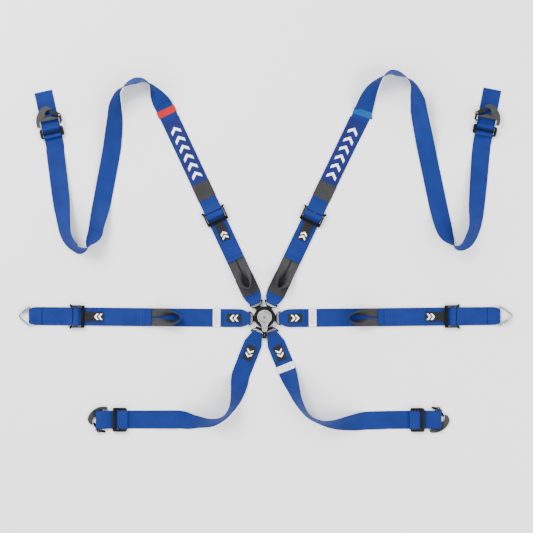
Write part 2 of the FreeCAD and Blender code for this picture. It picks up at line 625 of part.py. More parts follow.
def make_slider(axis, kind, name):
    pitch = SLIDER_PITCH[kind]
    z = slider_height(kind)
    heel = -pitch - SLIDER_BAR / 2
    hook_bar, toe = SLIDER_HOOK_BAR[kind]
    side = SLIDER_HALF_WIDTH
    upper = [(heel, side - 5), (heel + 1.3, side - 1.3), (heel + 5, side), (toe - 5, side),
             (toe - 1.3, side - 1.3), (toe, side - 5)]
    body = plate(upper + [(x, -y) for x, y in reversed(upper)], z - 1.5, z + 1.5)
    for near, far in ((SLIDER_BAR / 2, hook_bar), (SLIDER_BAR / 2 - pitch, -SLIDER_BAR / 2)):
        body = body.cut(block(near, far, -SLIDER_RAIL_IN, SLIDER_RAIL_IN, z - 2, z + 2))
    for v in (-side, side - 3.5):
        body = body.fuse(block(heel + 6, toe - 6, v, v + 3.5, z - 2.6, z + 2.6))
    save(axis.place(soften(body.removeSplitter(), 0.6)), name + "_slider")


def hook_plate_shape():
    """Hook plate with its bowl and narrow eye, seen with the gate on the left of travel."""
    outer = [(0, 26.8), (0, -27), (-15, -27.5), (-15, -33), (-11, -36), (2, -36), (12, -33.5),
             (22, -28), (32, -19.5), (38, -10), (40, -2), (38.5, 5), (34.5, 11), (30.5, 14),
             (28.2, 12.5), (27.6, 8)]
    eye = [(27.2, 2.5), (25.8, -2.5), (22.5, -5.9), (17, -6.8), (12.8, -5.6), (10.6, -2),
           (10.2, 4), (9.2, 9), (7.0, 14.5), (4.6, 20), (3.2, 26.8)]
    return plate(outer + eye, 0, HOOK_PLATE)


def make_hook(axis, kind, side, name):
    """Snap hook: plate, ears and webbing bar in one piece, with a sprung gate on a pin."""
    body = soften(hook_plate_shape(), 0.7)
    bar_z = -HOOK_BAR_DROP
    for v0, v1 in ((26.0, 29.5), (-29.5, -26.0)):
        ear = block(HOOK_BAR_U - 7, HOOK_BAR_U + 5, v0, v1, bar_z - 3.0, 0.5 if v0 < 0 else -0.4)
        body = body.fuse(ear)
    body = body.fuse(block(0.4, 2.8, 24.0, 27.0, -0.9, 1.0).cut(block(0, 3, 24, 25.6, -1, 0)))
    body = body.fuse(cross_rod(HOOK_BAR_R, 27.5, HOOK_BAR_U, bar_z))
    gate_side = block(GATE_PIVOT[0] - 5, GATE_PIVOT[0] + 5, 27.0, GATE_PIVOT[1] + 4.5, -4.0, -0.4)
    body = body.fuse(gate_side)
    body = body.cut(disc(1.55, -4.0, -0.4, GATE_PIVOT[0], GATE_PIVOT[1]))
    pu, pv = GATE_PIVOT
    top = HOOK_PLATE - 0.8
    gate = disc(4.6, 0, top, pu, pv).fuse(disc(2.8, 0, top, *GATE_TIP))
    gate = gate.fuse(hull_bar((pu, pv), 4.6, GATE_TIP, 2.8, 0, top))
    gate = gate.fuse(hull_bar((pu, pv), 3.6, GATE_THUMB, 2.6, 0, top))
    gate = gate.fuse(disc(2.6, 0, top, *GATE_THUMB))
    gate = gate.cut(disc(1.55, 0, top, pu, pv)).removeSplitter()
    gate = soften(gate, 0.5)
    if kind == "shoulder":
        cap_low, cap_high = HOOK_PLATE + 0.3, HOOK_PLATE + 1.7
        cap = soften(plate(GATE_CAP, cap_low, cap_high), 0.4)
        collar = disc(4.2, top, cap_low + 0.5, pu, pv)
        gate = gate.fuse(cap.fuse(collar).cut(disc(2.6, top, cap_high, pu, pv)))
    pin = disc(1.5, -3.9, top, pu, pv).fuse(disc(2.3, top, HOOK_PLATE, pu, pv))
    edge = SLIDER_TO_HOOK[kind]
    for shape, label in ((body, "_hook"), (gate, "_hook_gate"), (pin, "_hook_gate_pin")):
        save(place_hook(shape, axis, kind, side, edge), name + label)


def hull_bar(a, ra, b, rb, z0, z1):
    """Tapered link between two round ends."""
    length = math.dist(a, b)
    ax, ay = (b[0] - a[0]) / length, (b[1] - a[1]) / length
    lean = (ra - rb) / length
    run = math.sqrt(1 - lean * lean)
    corners = []
    for sign, centre, radius in ((1, a, ra), (1, b, rb), (-1, b, rb), (-1, a, ra)):
        nx = ax * lean - ay * run * sign
        ny = ay * lean + ax * run * sign
        corners.append((centre[0] + nx * radius, centre[1] + ny * radius))
    return plate(corners, z0, z1)


def place_hook(shape, axis, kind, side, edge):
    """Shoulder hooks lie plate up, crotch hooks plate down."""
    turned = shape.copy()
    if kind == "shoulder":
        if MIRRORED[side]:
            turned = turned.mirror(V(0, 0, 0), V(0, 1, 0))
        lift = hook_bar_height(kind) + HOOK_BAR_DROP
    else:
        turned = turned.mirror(V(0, 0, 0), V(0, 0, 1))
        lift = HOOK_PLATE + 0.1
    turned.translate(V(edge, 0, lift))
    turned.rotate(V(0, 0, 0), V(0, 0, 1), axis.heading)
    turned.translate(axis.start)
    return turned


def make_link(axis, side):
    """Triangular link with a threaded sleeve that closes the gap in one leg."""
    corners = [(0, -LINK_HALF, 3.6), (0, LINK_HALF, 3.6), (LINK_REACH[side], 0, 7.0)]
    bends = []
    for i, (x, y, radius) in enumerate(corners):
        here = V(x, y, 0)
        back = (V(*corners[i - 1][:2], 0) - here).normalize()
        ahead = (V(*corners[(i + 1) % 3][:2], 0) - here).normalize()
        half = back.getAngle(ahead) / 2
        cut = radius / math.tan(half)
        middle = (back + ahead).normalize() * (radius / math.sin(half) - radius)
        bends.append((here + back * cut, here + middle, here + ahead * cut))
    edges = []
    for i, (start, middle, stop) in enumerate(bends):
        edges.append(Part.Arc(start, middle, stop).toShape())
        edges.append(Part.LineSegment(stop, bends[(i + 1) % 3][0]).toShape())
    heading = edges[0].tangentAt(edges[0].FirstParameter)
    ring = Part.Wire([Part.makeCircle(LINK_WIRE_R, bends[0][0], heading)])
    link = Part.Wire(edges).makePipeShell([ring], True, False, 2)
    leg_from, leg_to = bends[2][2], bends[0][0]
    centre = (leg_from + leg_to) * 0.5
    run = (leg_to - leg_from).normalize()
    link = link.cut(Part.makeCylinder(LINK_WIRE_R + 1, 3.0, centre - run * 1.5, run))
    sleeve = Part.makeCylinder(LINK_SLEEVE_R, 16.0, centre - run * 8.0, run, 360)
    sleeve = soften(sleeve, 0.6)
    sleeve = sleeve.cut(Part.makeCylinder(LINK_WIRE_R + 0.06, 16.0, centre - run * 8.0, run))
    name = "lap_%s_link" % side
    save(axis.place(link, LINK_BAR_S, LINK_Z), name)
    save(axis.place(sleeve, LINK_BAR_S, LINK_Z), name + "_sleeve")


def main():
    os.makedirs("parts", exist_ok=True)
    make_buckle_base()
    make_buckle_housing()
    make_buckle_works()
    make_lever()
    make_crotch_tongue()
    for side in ("left", "right"):
        axis = Axis(*SHOULDER_AXIS[side])
        name = "shoulder_" + side
        make_tongue(axis, name + "_tongue")
        make_lower_strap(axis, "shoulder", name + "_lower_strap")
        make_adjuster(axis, "shoulder", name)
        make_pull_loop(axis, "shoulder", name, OUTER_HALF[side])
        make_shoulder_main(side)
        end = Axis(*SHOULDER_SLIDER[side])
        make_slider(end, "shoulder", name)
        make_hook(end, "shoulder", side, name)

        axis = Axis(*LAP_AXIS[side])
        name = "lap_" + side
        make_tongue(axis, name + "_tongue")
        make_lower_strap(axis, "lap", name + "_strap")
        make_adjuster(axis, "lap", name)
        make_pull_loop(axis, "lap", name, OUTER_HALF[side])
        make_anchor_strap(side)
        make_link(axis, side)

        name = "crotch_" + side
        make_crotch_strap(side)
        end = Axis(*CROTCH_SLIDER[side])
        make_slider(end, "crotch", name)
        make_hook(end, "crotch", side, name)


main()
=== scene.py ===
import json
import math
import random

import bpy
from mathutils import Matrix, Vector


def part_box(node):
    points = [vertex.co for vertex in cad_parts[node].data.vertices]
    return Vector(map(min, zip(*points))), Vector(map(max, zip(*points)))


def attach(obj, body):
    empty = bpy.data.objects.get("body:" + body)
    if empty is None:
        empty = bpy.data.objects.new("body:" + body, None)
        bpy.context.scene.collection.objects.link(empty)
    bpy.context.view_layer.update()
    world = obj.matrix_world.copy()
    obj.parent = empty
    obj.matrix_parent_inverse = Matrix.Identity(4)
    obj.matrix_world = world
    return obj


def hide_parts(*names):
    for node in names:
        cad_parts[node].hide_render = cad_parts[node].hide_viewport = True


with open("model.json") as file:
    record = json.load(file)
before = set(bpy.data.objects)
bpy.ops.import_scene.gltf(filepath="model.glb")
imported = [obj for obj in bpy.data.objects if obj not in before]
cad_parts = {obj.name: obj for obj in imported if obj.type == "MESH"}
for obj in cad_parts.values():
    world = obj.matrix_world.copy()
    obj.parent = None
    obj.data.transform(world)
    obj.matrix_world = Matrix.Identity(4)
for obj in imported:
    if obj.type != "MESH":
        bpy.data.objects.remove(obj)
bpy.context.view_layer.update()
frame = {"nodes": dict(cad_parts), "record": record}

# A six-point racing harness laid flat. The frame is in metres; strap routes below are in
# millimetres and are turned into metres when a mesh is made. Every strap is described from
# the buckle outwards: s along it, v to its left, z above the surface.

MM = 0.001
SIDES = ("left", "right")

WEB_WIDTH = 50.0
WEB_THICK = 1.3
LAYER_GAP = 0.3
Z_LOW = WEB_THICK / 2
Z_MID = Z_LOW + WEB_THICK + LAYER_GAP
Z_TOP = Z_MID + WEB_THICK + LAYER_GAP
WRAP = LAYER_GAP + WEB_THICK / 2
ROLL_CLEARANCE = 1.1
NECK_WIDTH = 25.0
FOLD_R = 0.95
HEM = {"shoulder": 9.0, "lap": 14.0}

TONGUE_Z = 3.3
TONGUE_THICK = 3.0
SLOT_OUT = 40.0
CROTCH_SLOT_OUT = 45.0
BAR_DEPTH = 5.0
GATHER = {SLOT_OUT: (33.0, 41.0, 47.0), CROTCH_SLOT_OUT: (29.0, 35.0, 44.0)}

SHOULDER_AXIS = {"left": ((-6.0, 0.0), 115.0), "right": ((0.0, 0.0), 64.5)}
LAP_AXIS = {"left": ((0.0, -4.3), 179.4), "right": ((0.0, -4.3), 0.6)}
CROTCH_AXIS = {"left": ((-2.0, 0.0), 248.0), "right": ((2.0, 0.0), 292.0)}

LOCK_S = {"shoulder": 306.0, "lap": 515.0}
TAIL_END = {"shoulder": 173.0, "lap": 312.0}
LOOP_TIP = {"shoulder": 88.0, "lap": 230.0}
SEWN_END = {"shoulder": 118.0, "lap": 112.0}
LOCK_R = 3.0
LOCK_Z = 4.6
LOCK_DEPTH = 7.0
REAR_BAR = 16.0
REAR_R = 2.4
REAR_Z = Z_LOW + REAR_R + WRAP
TAB_START = -20.6
TAB_LENGTH = 63.0
TAB_WIDTH = 26.0

SLIDER_PITCH = {"shoulder": 11.5, "crotch": 17.0}
SLIDER_TO_HOOK = {"shoulder": 33.0, "crotch": 49.5}
HOOK_PLATE = 4.0
HOOK_BAR_U = 13.0
HOOK_BAR_R = 2.5
HOOK_BAR_DROP = HOOK_BAR_R + WRAP + WEB_THICK / 2 + LAYER_GAP
TAIL_REACH = 116.0

LINK_BAR_S = 644.0
LINK_WIRE_R = 2.4
LINK_Z = 4.6
LINK_END_WIDTH = 40.0

SHOULDER_ROUTE = {
    "left": [(-277, 579, 0), (-314.6, 636, -88), (-352, 646, -120), (-396, 619, -90),
             (-408, 582, -57), (-410, 541, -38), (-416, 486, -21), (-420, 458, -12),
             (-446, 321, 0), (-460, 252, 26), (-466, 224, 31), (-478.5, 199, 64),
             (-486, 188, 90), (-508, 184.5, 117), (-520, 192, 122), (-535.5, 209, 130),
             (-545, 230, 136), (-549.5, 256, 144), (-553, 283, 153), (-558.5, 321, 168),
             (-576, 458, 180)],
    "right": [(267.5, 555, 0), (291.5, 618, 46), (324.5, 656, 90), (356, 668, 118),
              (400, 643, 90), (418, 596, 48), (423, 563, 31), (433, 513, 23),
              (451, 431, 0), (474, 321, 0), (489.5, 252, -15), (501, 216, -45),
              (521, 194, -90), (540, 195, -120), (558.5, 208, -132), (575, 246, -139),
              (582, 311, -160), (594, 445, -180)],
}
SHOULDER_SLIDER = {"left": ((-584.0, 506.5), 102.5), "right": ((604.5, 512.5), 79.0)}
CROTCH_ROUTE = {
    "left": [(-66, -160, 0), (-73, -202, -37), (-80, -229, -55), (-91, -253, -69),
             (-110, -275, -72), (-146, -288.5, -57), (-188, -286, -39), (-235, -282.5, 0),
             (-320, -282.5, 0)],
    "right": [(59, -140, 0), (76.5, -188, 40), (92, -229, 61), (118, -269, 74),
              (152, -287, 71), (190, -293, 53), (235, -290, 27), (282, -285.5, 0),
              (345, -283.5, 0)],
}
CROTCH_SLIDER = {"left": ((-397.0, -282.5), 180.0), "right": ((419.0, -283.0), 0.5)}


# ---------------------------------------------------------------- camera, floor and light

def make_camera():
    """Straight above the laid-out harness, with the shoulder straps at the top."""
    data = bpy.data.cameras.new("camera")
    data.lens = 85.0
    data.sensor_width = 36.0
    camera = bpy.data.objects.new("camera", data)
    bpy.context.collection.objects.link(camera)
    camera.location = (0.0052, 0.1384, 3.462)
    camera.rotation_euler = (0.0, 0.0, 0.0)
    bpy.context.scene.camera = camera


def area_light(name, place, target, size, power):
    data = bpy.data.lights.new(name, "AREA")
    data.shape = "SQUARE"
    data.size = size
    data.energy = power
    light = bpy.data.objects.new(name, data)
    bpy.context.collection.objects.link(light)
    light.location = place
    aim = Vector(target) - Vector(place)
    light.rotation_euler = aim.to_track_quat("-Z", "Y").to_euler()


def make_studio():
    floor_half = 6.0
    floor_z = -0.0004
    mesh = bpy.data.meshes.new("floor")
    mesh.from_pydata([(-floor_half, -floor_half, floor_z), (floor_half, -floor_half, floor_z),
                      (floor_half, floor_half, floor_z), (-floor_half, floor_half, floor_z)], [],
                     [(0, 1, 2, 3)])
    floor = bpy.data.objects.new("floor", mesh)
    bpy.context.collection.objects.link(floor)
    material = bpy.data.materials.new("floor_white")
    material.use_nodes = True
    shader = material.node_tree.nodes["Principled BSDF"]
    shader.inputs["Base Color"].default_value = (0.96, 0.96, 0.96, 1)
    shader.inputs["Roughness"].default_value = 0.9
    mesh.materials.append(material)
    world = bpy.data.worlds.new("studio")
    world.use_nodes = True
    nodes, links = world.node_tree.nodes, world.node_tree.links
    background = nodes["Background"]
    place = nodes.new("ShaderNodeTexCoord")
    split = nodes.new("ShaderNodeSeparateXYZ")
    links.new(place.outputs["Generated"], split.inputs[0])
    sky = colour_ramp(nodes, links, split.outputs["Z"],
                      [(0.0, (0.35, 0.35, 0.36)), (0.2, (1.0, 1.0, 1.0)), (0.55, (1.0, 1.0, 1.0)),
                       (0.84, (0.12, 0.12, 0.125))])
    links.new(sky, background.inputs["Color"])
    background.inputs["Strength"].default_value = 3.1
    bpy.context.scene.world = world
    area_light("key", (-1.9, 2.1, 2.4), (0, 0.1, 0), 1.6, 160)
    area_light("fill", (2.2, -1.0, 2.2), (0, 0.1, 0), 2.0, 60)


# ---------------------------------------------------------------- strap frames and stations

def unit(degrees):
    angle = math.radians(degrees)
    return Vector((math.cos(angle), math.sin(angle), 0))


class Axis:
    """A strap's own frame: s outwards, v to the left, z up."""

    def __init__(self, start, heading):
        self.start = Vector((start[0], start[1], 0))
        self.out = unit(heading)
        self.left = unit(heading + 90)

    def point(self, s, v, z):
        return self.start + self.out * s + self.left * v + Vector((0, 0, z))


def blend_points(points, steps):
    """Smooth curve through points of any dimension, with tangents from uneven spacing."""
    slopes = []
    for i, here in enumerate(points):
        before = points[max(i - 1, 0)]
        after = points[min(i + 1, len(points) - 1)]
        span = math.dist(before[:2], here[:2]) + math.dist(here[:2], after[:2])
        slopes.append([(b - a) / span for a, b in zip(before, after)])
    out = []
    for i in range(len(points) - 1):
        a, b = points[i], points[i + 1]
        length = math.dist(a[:2], b[:2])
        for k in range(steps):
            t = k / steps
            h = (2 * t**3 - 3 * t**2 + 1, t**3 - 2 * t**2 + t, 3 * t**2 - 2 * t**3, t**3 - t**2)
            out.append([h[0] * p + h[1] * length * m + h[2] * q + h[3] * length * n
                        for p, m, q, n in zip(a, slopes[i], b, slopes[i + 1])])
    out.append(list(points[-1]))
    return out


def route_stations(route, steps=9):
    """Stations along a free route that rolls about its own centre line."""
    points = blend_points(route, steps)
    stations = []
    for i, (x, y, roll) in enumerate(points):
        before = points[max(i - 1, 0)]
        after = points[min(i + 1, len(points) - 1)]
        heading = math.degrees(math.atan2(after[1] - before[1], after[0] - before[0]))
        turn = math.radians(roll)
        lift = abs(math.sin(turn))
        z = Z_LOW + WEB_WIDTH / 2 * lift + ROLL_CLEARANCE * min(1.0, 3.0 * lift)
        across = unit(heading + 90) * math.cos(turn) + Vector((0, 0, math.sin(turn)))
        stations.append((Vector((x, y, z)), across, WEB_WIDTH))
    return stations


def profile_stations(axis, profile, side=1.0):
    return [(axis.point(s, 0, z), axis.left * side, width) for s, z, width in profile]


def wrap(s, z, radius, first, last, width=WEB_WIDTH, steps=8):
    out = []
    for k in range(steps + 1):
        angle = math.radians(first + (last - first) * k / steps)
        out.append((s + radius * math.cos(angle), z + radius * math.sin(angle), width))
    return out


def soften_stations(stations, rounds=2, reach=4.0):
    """Cut the corners of a chain of stations, at most reach millimetres from each corner."""
    for _ in range(rounds):
        smooth = [stations[0]]
        for a, b in zip(stations, stations[1:]):
            length = (b[0] - a[0]).length
            share = min(0.25, reach / max(length, 1e-6))
            for t in (share, 1 - share):
                smooth.append((a[0].lerp(b[0], t), a[1].lerp(b[1], t), a[2] + (b[2] - a[2]) * t))
        smooth.append(stations[-1])
        stations = smooth
    return stations


def fill_stations(stations, step=5.0):
    """Add stations so that none is further than a step from the next."""
    out = []
    for a, b in zip(stations, stations[1:]):
        count = max(1, math.ceil((b[0] - a[0]).length / step))
        for k in range(count):
            t = k / count
            out.append((a[0].lerp(b[0], t), a[1].lerp(b[1], t), a[2] + (b[2] - a[2]) * t))
    out.append(stations[-1])
    return out


# ---------------------------------------------------------------- meshes

def new_object(name, verts, faces, material, smooth=True):
    mesh = bpy.data.meshes.new(name)
    mesh.from_pydata([Vector(v) * MM for v in verts], [], faces)
    mesh.validate()
    if smooth:
        mesh.shade_smooth()
    mesh.materials.append(material)
    piece = bpy.data.objects.new(name, mesh)
    bpy.context.collection.objects.link(piece)
    return piece


# share of the half width, and share of the half thickness, over one broad face
WEB_SECTION = [(-1.0, 0.25), (-0.985, 0.72), (-0.955, 1.06), (-0.91, 1.12), (-0.86, 0.98), (-0.6, 1.0),
               (-0.3, 1.03), (0.0, 1.04), (0.3, 1.03), (0.6, 1.0), (0.86, 0.98), (0.91, 1.12),
               (0.955, 1.06), (0.985, 0.72), (1.0, 0.25)]


def ribbon(name, stations, material, thickness=WEB_THICK, ripple=0.12, seed=0):
    """Woven strip with rounded, slightly thicker selvedges and its own weave coordinates."""
    rng = random.Random(seed)
    phases = [rng.uniform(0, 6.28) for _ in range(3)]
    verts = []
    coords = []
    run = 0.0
    count = len(WEB_SECTION)
    for i, (centre, across, width) in enumerate(stations):
        before = stations[max(i - 1, 0)][0]
        after = stations[min(i + 1, len(stations) - 1)][0]
        along = (after - before).normalized()
        side = (across - along * across.dot(along)).normalized()
        up = side.cross(along).normalized()
        if i:
            run += (centre - before).length
        wave = ripple * (math.sin(run / 23.0 + phases[0]) + 0.6 * math.sin(run / 9.0 + phases[1]))
        for sign in (1, -1):
            section = WEB_SECTION if sign > 0 else WEB_SECTION[::-1]
            for share, thick in section:
                edge = 1 - share * share
                offset = up * (sign * thick * thickness / 2 + wave * edge)
                verts.append(centre + side * (share * width / 2) + offset)
                coords.append((share * width / 2 * MM, run * MM, sign))
    ring = 2 * count
    faces = []
    for i in range(len(stations) - 1):
        for k in range(ring):
            a = i * ring + k
            b = i * ring + (k + 1) % ring
            faces.append((a, b, b + ring, a + ring))
    faces.append(tuple(range(ring))[::-1])
    last = (len(stations) - 1) * ring
    faces.append(tuple(range(last, last + ring)))
    piece = new_object(name, verts, faces, material)
    attribute = piece.data.attributes.new("weave", "FLOAT_VECTOR", "POINT")
    for item, coord in zip(attribute.data, coords):
        item.vector = coord
    return piece


def slab(name, outline, z0, z1, place, material, round_top=0.4):
    """Flat patch with a soft upper rim: outline in (s, v), placed by a strap's axis."""
    count = len(outline)
    cs = sum(p[0] for p in outline) / count
    cv = sum(p[1] for p in outline) / count
    verts = []
    coords = []
    layers = ((0.0, z0), (0.0, z1 - round_top), (round_top * 0.4, z1 - round_top * 0.35), (round_top * 1.3, z1))
    for inset, z in layers:
        for s, v in outline:
            length = math.hypot(s - cs, v - cv)
            share = 1 - inset / length
            ps, pv = cs + (s - cs) * share, cv + (v - cv) * share
            verts.append(place(ps, pv, z))
            coords.append((pv * MM, ps * MM, 1))
    faces = [tuple(range(count))[::-1]]
    for layer in range(len(layers) - 1):
        for k in range(count):
            a = layer * count + k
            b = layer * count + (k + 1) % count
            faces.append((a, b, b + count, a + count))
    top = (len(layers) - 1) * count
    faces.append(tuple(range(top, top + count)))
    piece = new_object(name, verts, faces, material, smooth=False)
    attribute = piece.data.attributes.new("weave", "FLOAT_VECTOR", "POINT")
    for item, coord in zip(attribute.data, coords):
        item.vector = coord
    return piece


def rounded_box(s0, s1, half, radius, steps=4):
    """Outline of a rectangle with round corners."""
    out = []
    for cs, cv, start in ((s1 - radius, half - radius, 0), (s0 + radius, half - radius, 90),
                          (s0 + radius, radius - half, 180), (s1 - radius, radius - half, 270)):
        for k in range(steps + 1):
            angle = math.radians(start + 90 * k / steps)
            out.append((cs + radius * math.cos(angle), cv + radius * math.sin(angle)))
    return out


def stitch_rows(name, rows, z, place, material, pitch=3.4, thick=0.42):
    """Rows of thread: each row is a polyline in (s, v) just on top of a flat layer."""
    verts = []
    faces = []
    for row in rows:
        for a, b in zip(row, row[1:]):
            length = math.dist(a, b)
            count = max(1, round(length / pitch))
            ds, dv = (b[0] - a[0]) / length, (b[1] - a[1]) / length
            for k in range(count):
                start = length * (k + 0.12) / count
                stop = length * (k + 0.88) / count
                base = len(verts)
                middle = (start + stop) / 2
                for where, size, lift in ((start, 0.35, 0.0), (middle, 1.0, 0.55), (stop, 0.35, 0.0)):
                    cs, cv = a[0] + ds * where, a[1] + dv * where
                    for angle in (0, 72, 144, 216, 288):
                        turn = math.radians(angle + 90)
                        out = thick * size * math.cos(turn)
                        up = thick * (0.75 * size * math.sin(turn) + lift)
                        verts.append(place(cs - dv * out, cv + ds * out, z + up))
                for ring in range(2):
                    for k2 in range(5):
                        p = base + ring * 5 + k2
                        q = base + ring * 5 + (k2 + 1) % 5
                        faces.append((p, q, q + 5, p + 5))
                faces.append(tuple(base + k2 for k2 in (4, 3, 2, 1, 0)))
                faces.append(tuple(base + 10 + k2 for k2 in range(5)))
    return new_object(name, verts, faces, material)


# ---------------------------------------------------------------- materials

def new_material(name):
    material = bpy.data.materials.new(name)
    material.use_nodes = True
    nodes = material.node_tree.nodes
    return material, nodes, material.node_tree.links, nodes["Principled BSDF"]


def math_node(nodes, links, operation, a, b=None, c=None):
    node = nodes.new("ShaderNodeMath")
    node.operation = operation
    for index, value in enumerate((a, b, c)):
        if value is None:
            continue
        if isinstance(value, (int, float)):
            node.inputs[index].default_value = value
        else:
            links.new(value, node.inputs[index])
    return node.outputs[0]


def colour_ramp(nodes, links, factor, stops):
    ramp = nodes.new("ShaderNodeValToRGB")
    elements = ramp.color_ramp.elements
    while len(elements) < len(stops):
        elements.new(0.5)
    for element, (place, colour) in zip(elements, stops):
        element.position = place
        element.color = (*colour, 1)
    links.new(factor, ramp.inputs["Fac"])
    return ramp.outputs["Color"]


def woven(name, dark, middle, light, rib=1.7, roughness=0.72, sheen=0.25, chevron=6.2, edge_dark=0.55,
          depth=0.00035, painted_shade_side=0.0):
    """Herringbone webbing: ribs that lean one way and then the other, darker selvedges."""
    material, nodes, links, shader = new_material(name)
    attribute = nodes.new("ShaderNodeAttribute")
    attribute.attribute_name = "weave"
    split = nodes.new("ShaderNodeSeparateXYZ")
    links.new(attribute.outputs["Vector"], split.inputs[0])
    u = math_node(nodes, links, "MULTIPLY", split.outputs["X"], 1000.0)
    v = math_node(nodes, links, "MULTIPLY", split.outputs["Y"], 1000.0)
    lean = math_node(nodes, links, "PINGPONG", u, chevron / 2)
    phase = math_node(nodes, links, "MULTIPLY", math_node(nodes, links, "ADD", v, lean), 2 * math.pi / rib)
    ribs = math_node(nodes, links, "MULTIPLY_ADD", math_node(nodes, links, "SINE", phase), 0.5, 0.5)
    warp = math_node(nodes, links, "SINE", math_node(nodes, links, "MULTIPLY", u, 2 * math.pi / 0.8))
    warp = math_node(nodes, links, "MULTIPLY_ADD", warp, 0.5, 0.5)
    column = math_node(nodes, links, "MULTIPLY_ADD",
                       math_node(nodes, links, "SINE", math_node(nodes, links, "MULTIPLY", u,
                                                                 2 * math.pi / chevron)), 0.5, 0.5)
    height = math_node(nodes, links, "ADD", math_node(nodes, links, "MULTIPLY", ribs, 0.6),
                       math_node(nodes, links, "MULTIPLY", warp, 0.25))
    height = math_node(nodes, links, "ADD", height, math_node(nodes, links, "MULTIPLY", column, 0.13))
    place = nodes.new("ShaderNodeTexCoord")
    noise = nodes.new("ShaderNodeTexNoise")
    noise.inputs["Scale"].default_value = 22.0
    noise.inputs["Detail"].default_value = 4.0
    links.new(place.outputs["Object"], noise.inputs["Vector"])
    speckle = nodes.new("ShaderNodeTexNoise")
    speckle.inputs["Scale"].default_value = 900.0
    links.new(place.outputs["Object"], speckle.inputs["Vector"])
    shade = math_node(nodes, links, "MULTIPLY_ADD", height, 0.42,
                      math_node(nodes, links, "MULTIPLY", noise.outputs["Fac"], 0.42))
    shade = math_node(nodes, links, "MULTIPLY_ADD", speckle.outputs["Fac"], 0.2, shade)
    selvedge = math_node(nodes, links, "GREATER_THAN", math_node(nodes, links, "ABSOLUTE", u), 22.6)
    shade = math_node(nodes, links, "SUBTRACT", shade, math_node(nodes, links, "MULTIPLY", selvedge,
                                                                 0.22 * edge_dark))
    # Painted shade: when a side is given, the half of the strip on that side across its width is darkened near a
    # pull loop's tip (about 100 mm along), standing in for the shadow inside the loop.
    if painted_shade_side:
        painted_shade = nodes.new("ShaderNodeMapRange")
        painted_shade.inputs["From Min"].default_value = -2.0 * painted_shade_side
        painted_shade.inputs["From Max"].default_value = 12.0 * painted_shade_side
        links.new(u, painted_shade.inputs["Value"])
        away = math_node(nodes, links, "ABSOLUTE", math_node(nodes, links, "SUBTRACT", v, 100.0))
        painted_shade_near_tip = nodes.new("ShaderNodeMapRange")
        painted_shade_near_tip.inputs["From Min"].default_value = 62.0
        painted_shade_near_tip.inputs["From Max"].default_value = 26.0
        links.new(away, painted_shade_near_tip.inputs["Value"])
        painted_shade = math_node(nodes, links, "MULTIPLY", painted_shade.outputs[0], painted_shade_near_tip.outputs[0])
        shade = math_node(nodes, links, "MULTIPLY_ADD", painted_shade, -0.8, shade)
    links.new(colour_ramp(nodes, links, shade, [(0.15, dark), (0.5, middle), (0.95, light)]),
              shader.inputs["Base Color"])
    shader.inputs["Roughness"].default_value = roughness
    shader.inputs["Sheen Weight"].default_value = sheen
    shader.inputs["Sheen Roughness"].default_value = 0.4
    shader.inputs["Sheen Tint"].default_value = (*light, 1)
    shader.inputs["Specular IOR Level"].default_value = 0.2
    bump = nodes.new("ShaderNodeBump")
    bump.inputs["Strength"].default_value = 0.55
    bump.inputs["Distance"].default_value = depth
    links.new(height, bump.inputs["Height"])
    links.new(bump.outputs["Normal"], shader.inputs["Normal"])
    return material


def metal(name, colour, worn, roughness, metallic=1.0, grain=600.0, wear=0.5, bump_depth=0.00008,
          coat=0.0, brushed=None, specular=0.5):
    """Metal or powder coat with fine grain, patchy gloss and lighter worn edges."""
    material, nodes, links, shader = new_material(name)
    place = nodes.new("ShaderNodeTexCoord")
    noise = nodes.new("ShaderNodeTexNoise")
    noise.inputs["Scale"].default_value = grain
    noise.inputs["Detail"].default_value = 6.0
    source = place.outputs["Object"]
    if brushed is not None:
        stretch = nodes.new("ShaderNodeMapping")
        stretch.inputs["Scale"].default_value = brushed
        links.new(source, stretch.inputs["Vector"])
        source = stretch.outputs["Vector"]
    links.new(source, noise.inputs["Vector"])
    patches = nodes.new("ShaderNodeTexNoise")
    patches.inputs["Scale"].default_value = 45.0
    patches.inputs["Detail"].default_value = 5.0
    links.new(place.outputs["Object"], patches.inputs["Vector"])
    geometry = nodes.new("ShaderNodeNewGeometry")
    edge = nodes.new("ShaderNodeMapRange")
    edge.inputs["From Min"].default_value = 0.52
    edge.inputs["From Max"].default_value = 0.60
    links.new(geometry.outputs["Pointiness"], edge.inputs["Value"])
    amount = math_node(nodes, links, "MULTIPLY", edge.outputs[0], wear)
    amount = math_node(nodes, links, "MULTIPLY_ADD", patches.outputs["Fac"], 0.25, amount)
    links.new(colour_ramp(nodes, links, amount, [(0.08, colour), (0.85, worn)]), shader.inputs["Base Color"])
    rough = math_node(nodes, links, "MULTIPLY_ADD", patches.outputs["Fac"], 0.22, roughness - 0.11)
    links.new(rough, shader.inputs["Roughness"])
    shader.inputs["Metallic"].default_value = metallic
    shader.inputs["Specular IOR Level"].default_value = specular
    shader.inputs["Coat Weight"].default_value = coat
    shader.inputs["Coat Roughness"].default_value = 0.25
    bump = nodes.new("ShaderNodeBump")
    bump.inputs["Strength"].default_value = 0.4
    bump.inputs["Distance"].default_value = bump_depth
    links.new(noise.outputs["Fac"], bump.inputs["Height"])
    links.new(bump.outputs["Normal"], shader.inputs["Normal"])
    return material


def thread(name, colour):
    """Sewing thread: twisted strands and a soft sheen."""
    material, nodes, links, shader = new_material(name)
    place = nodes.new("ShaderNodeTexCoord")
    wave = nodes.new("ShaderNodeTexWave")
    wave.inputs["Scale"].default_value = 700.0
    wave.inputs["Distortion"].default_value = 1.5
    links.new(place.outputs["Object"], wave.inputs["Vector"])
    light = tuple(min(1.0, c * 1.6) for c in colour)
    links.new(colour_ramp(nodes, links, wave.outputs["Fac"], [(0.0, colour), (1.0, light)]),
              shader.inputs["Base Color"])
    shader.inputs["Roughness"].default_value = 0.7
    shader.inputs["Specular IOR Level"].default_value = 0.2
    return material


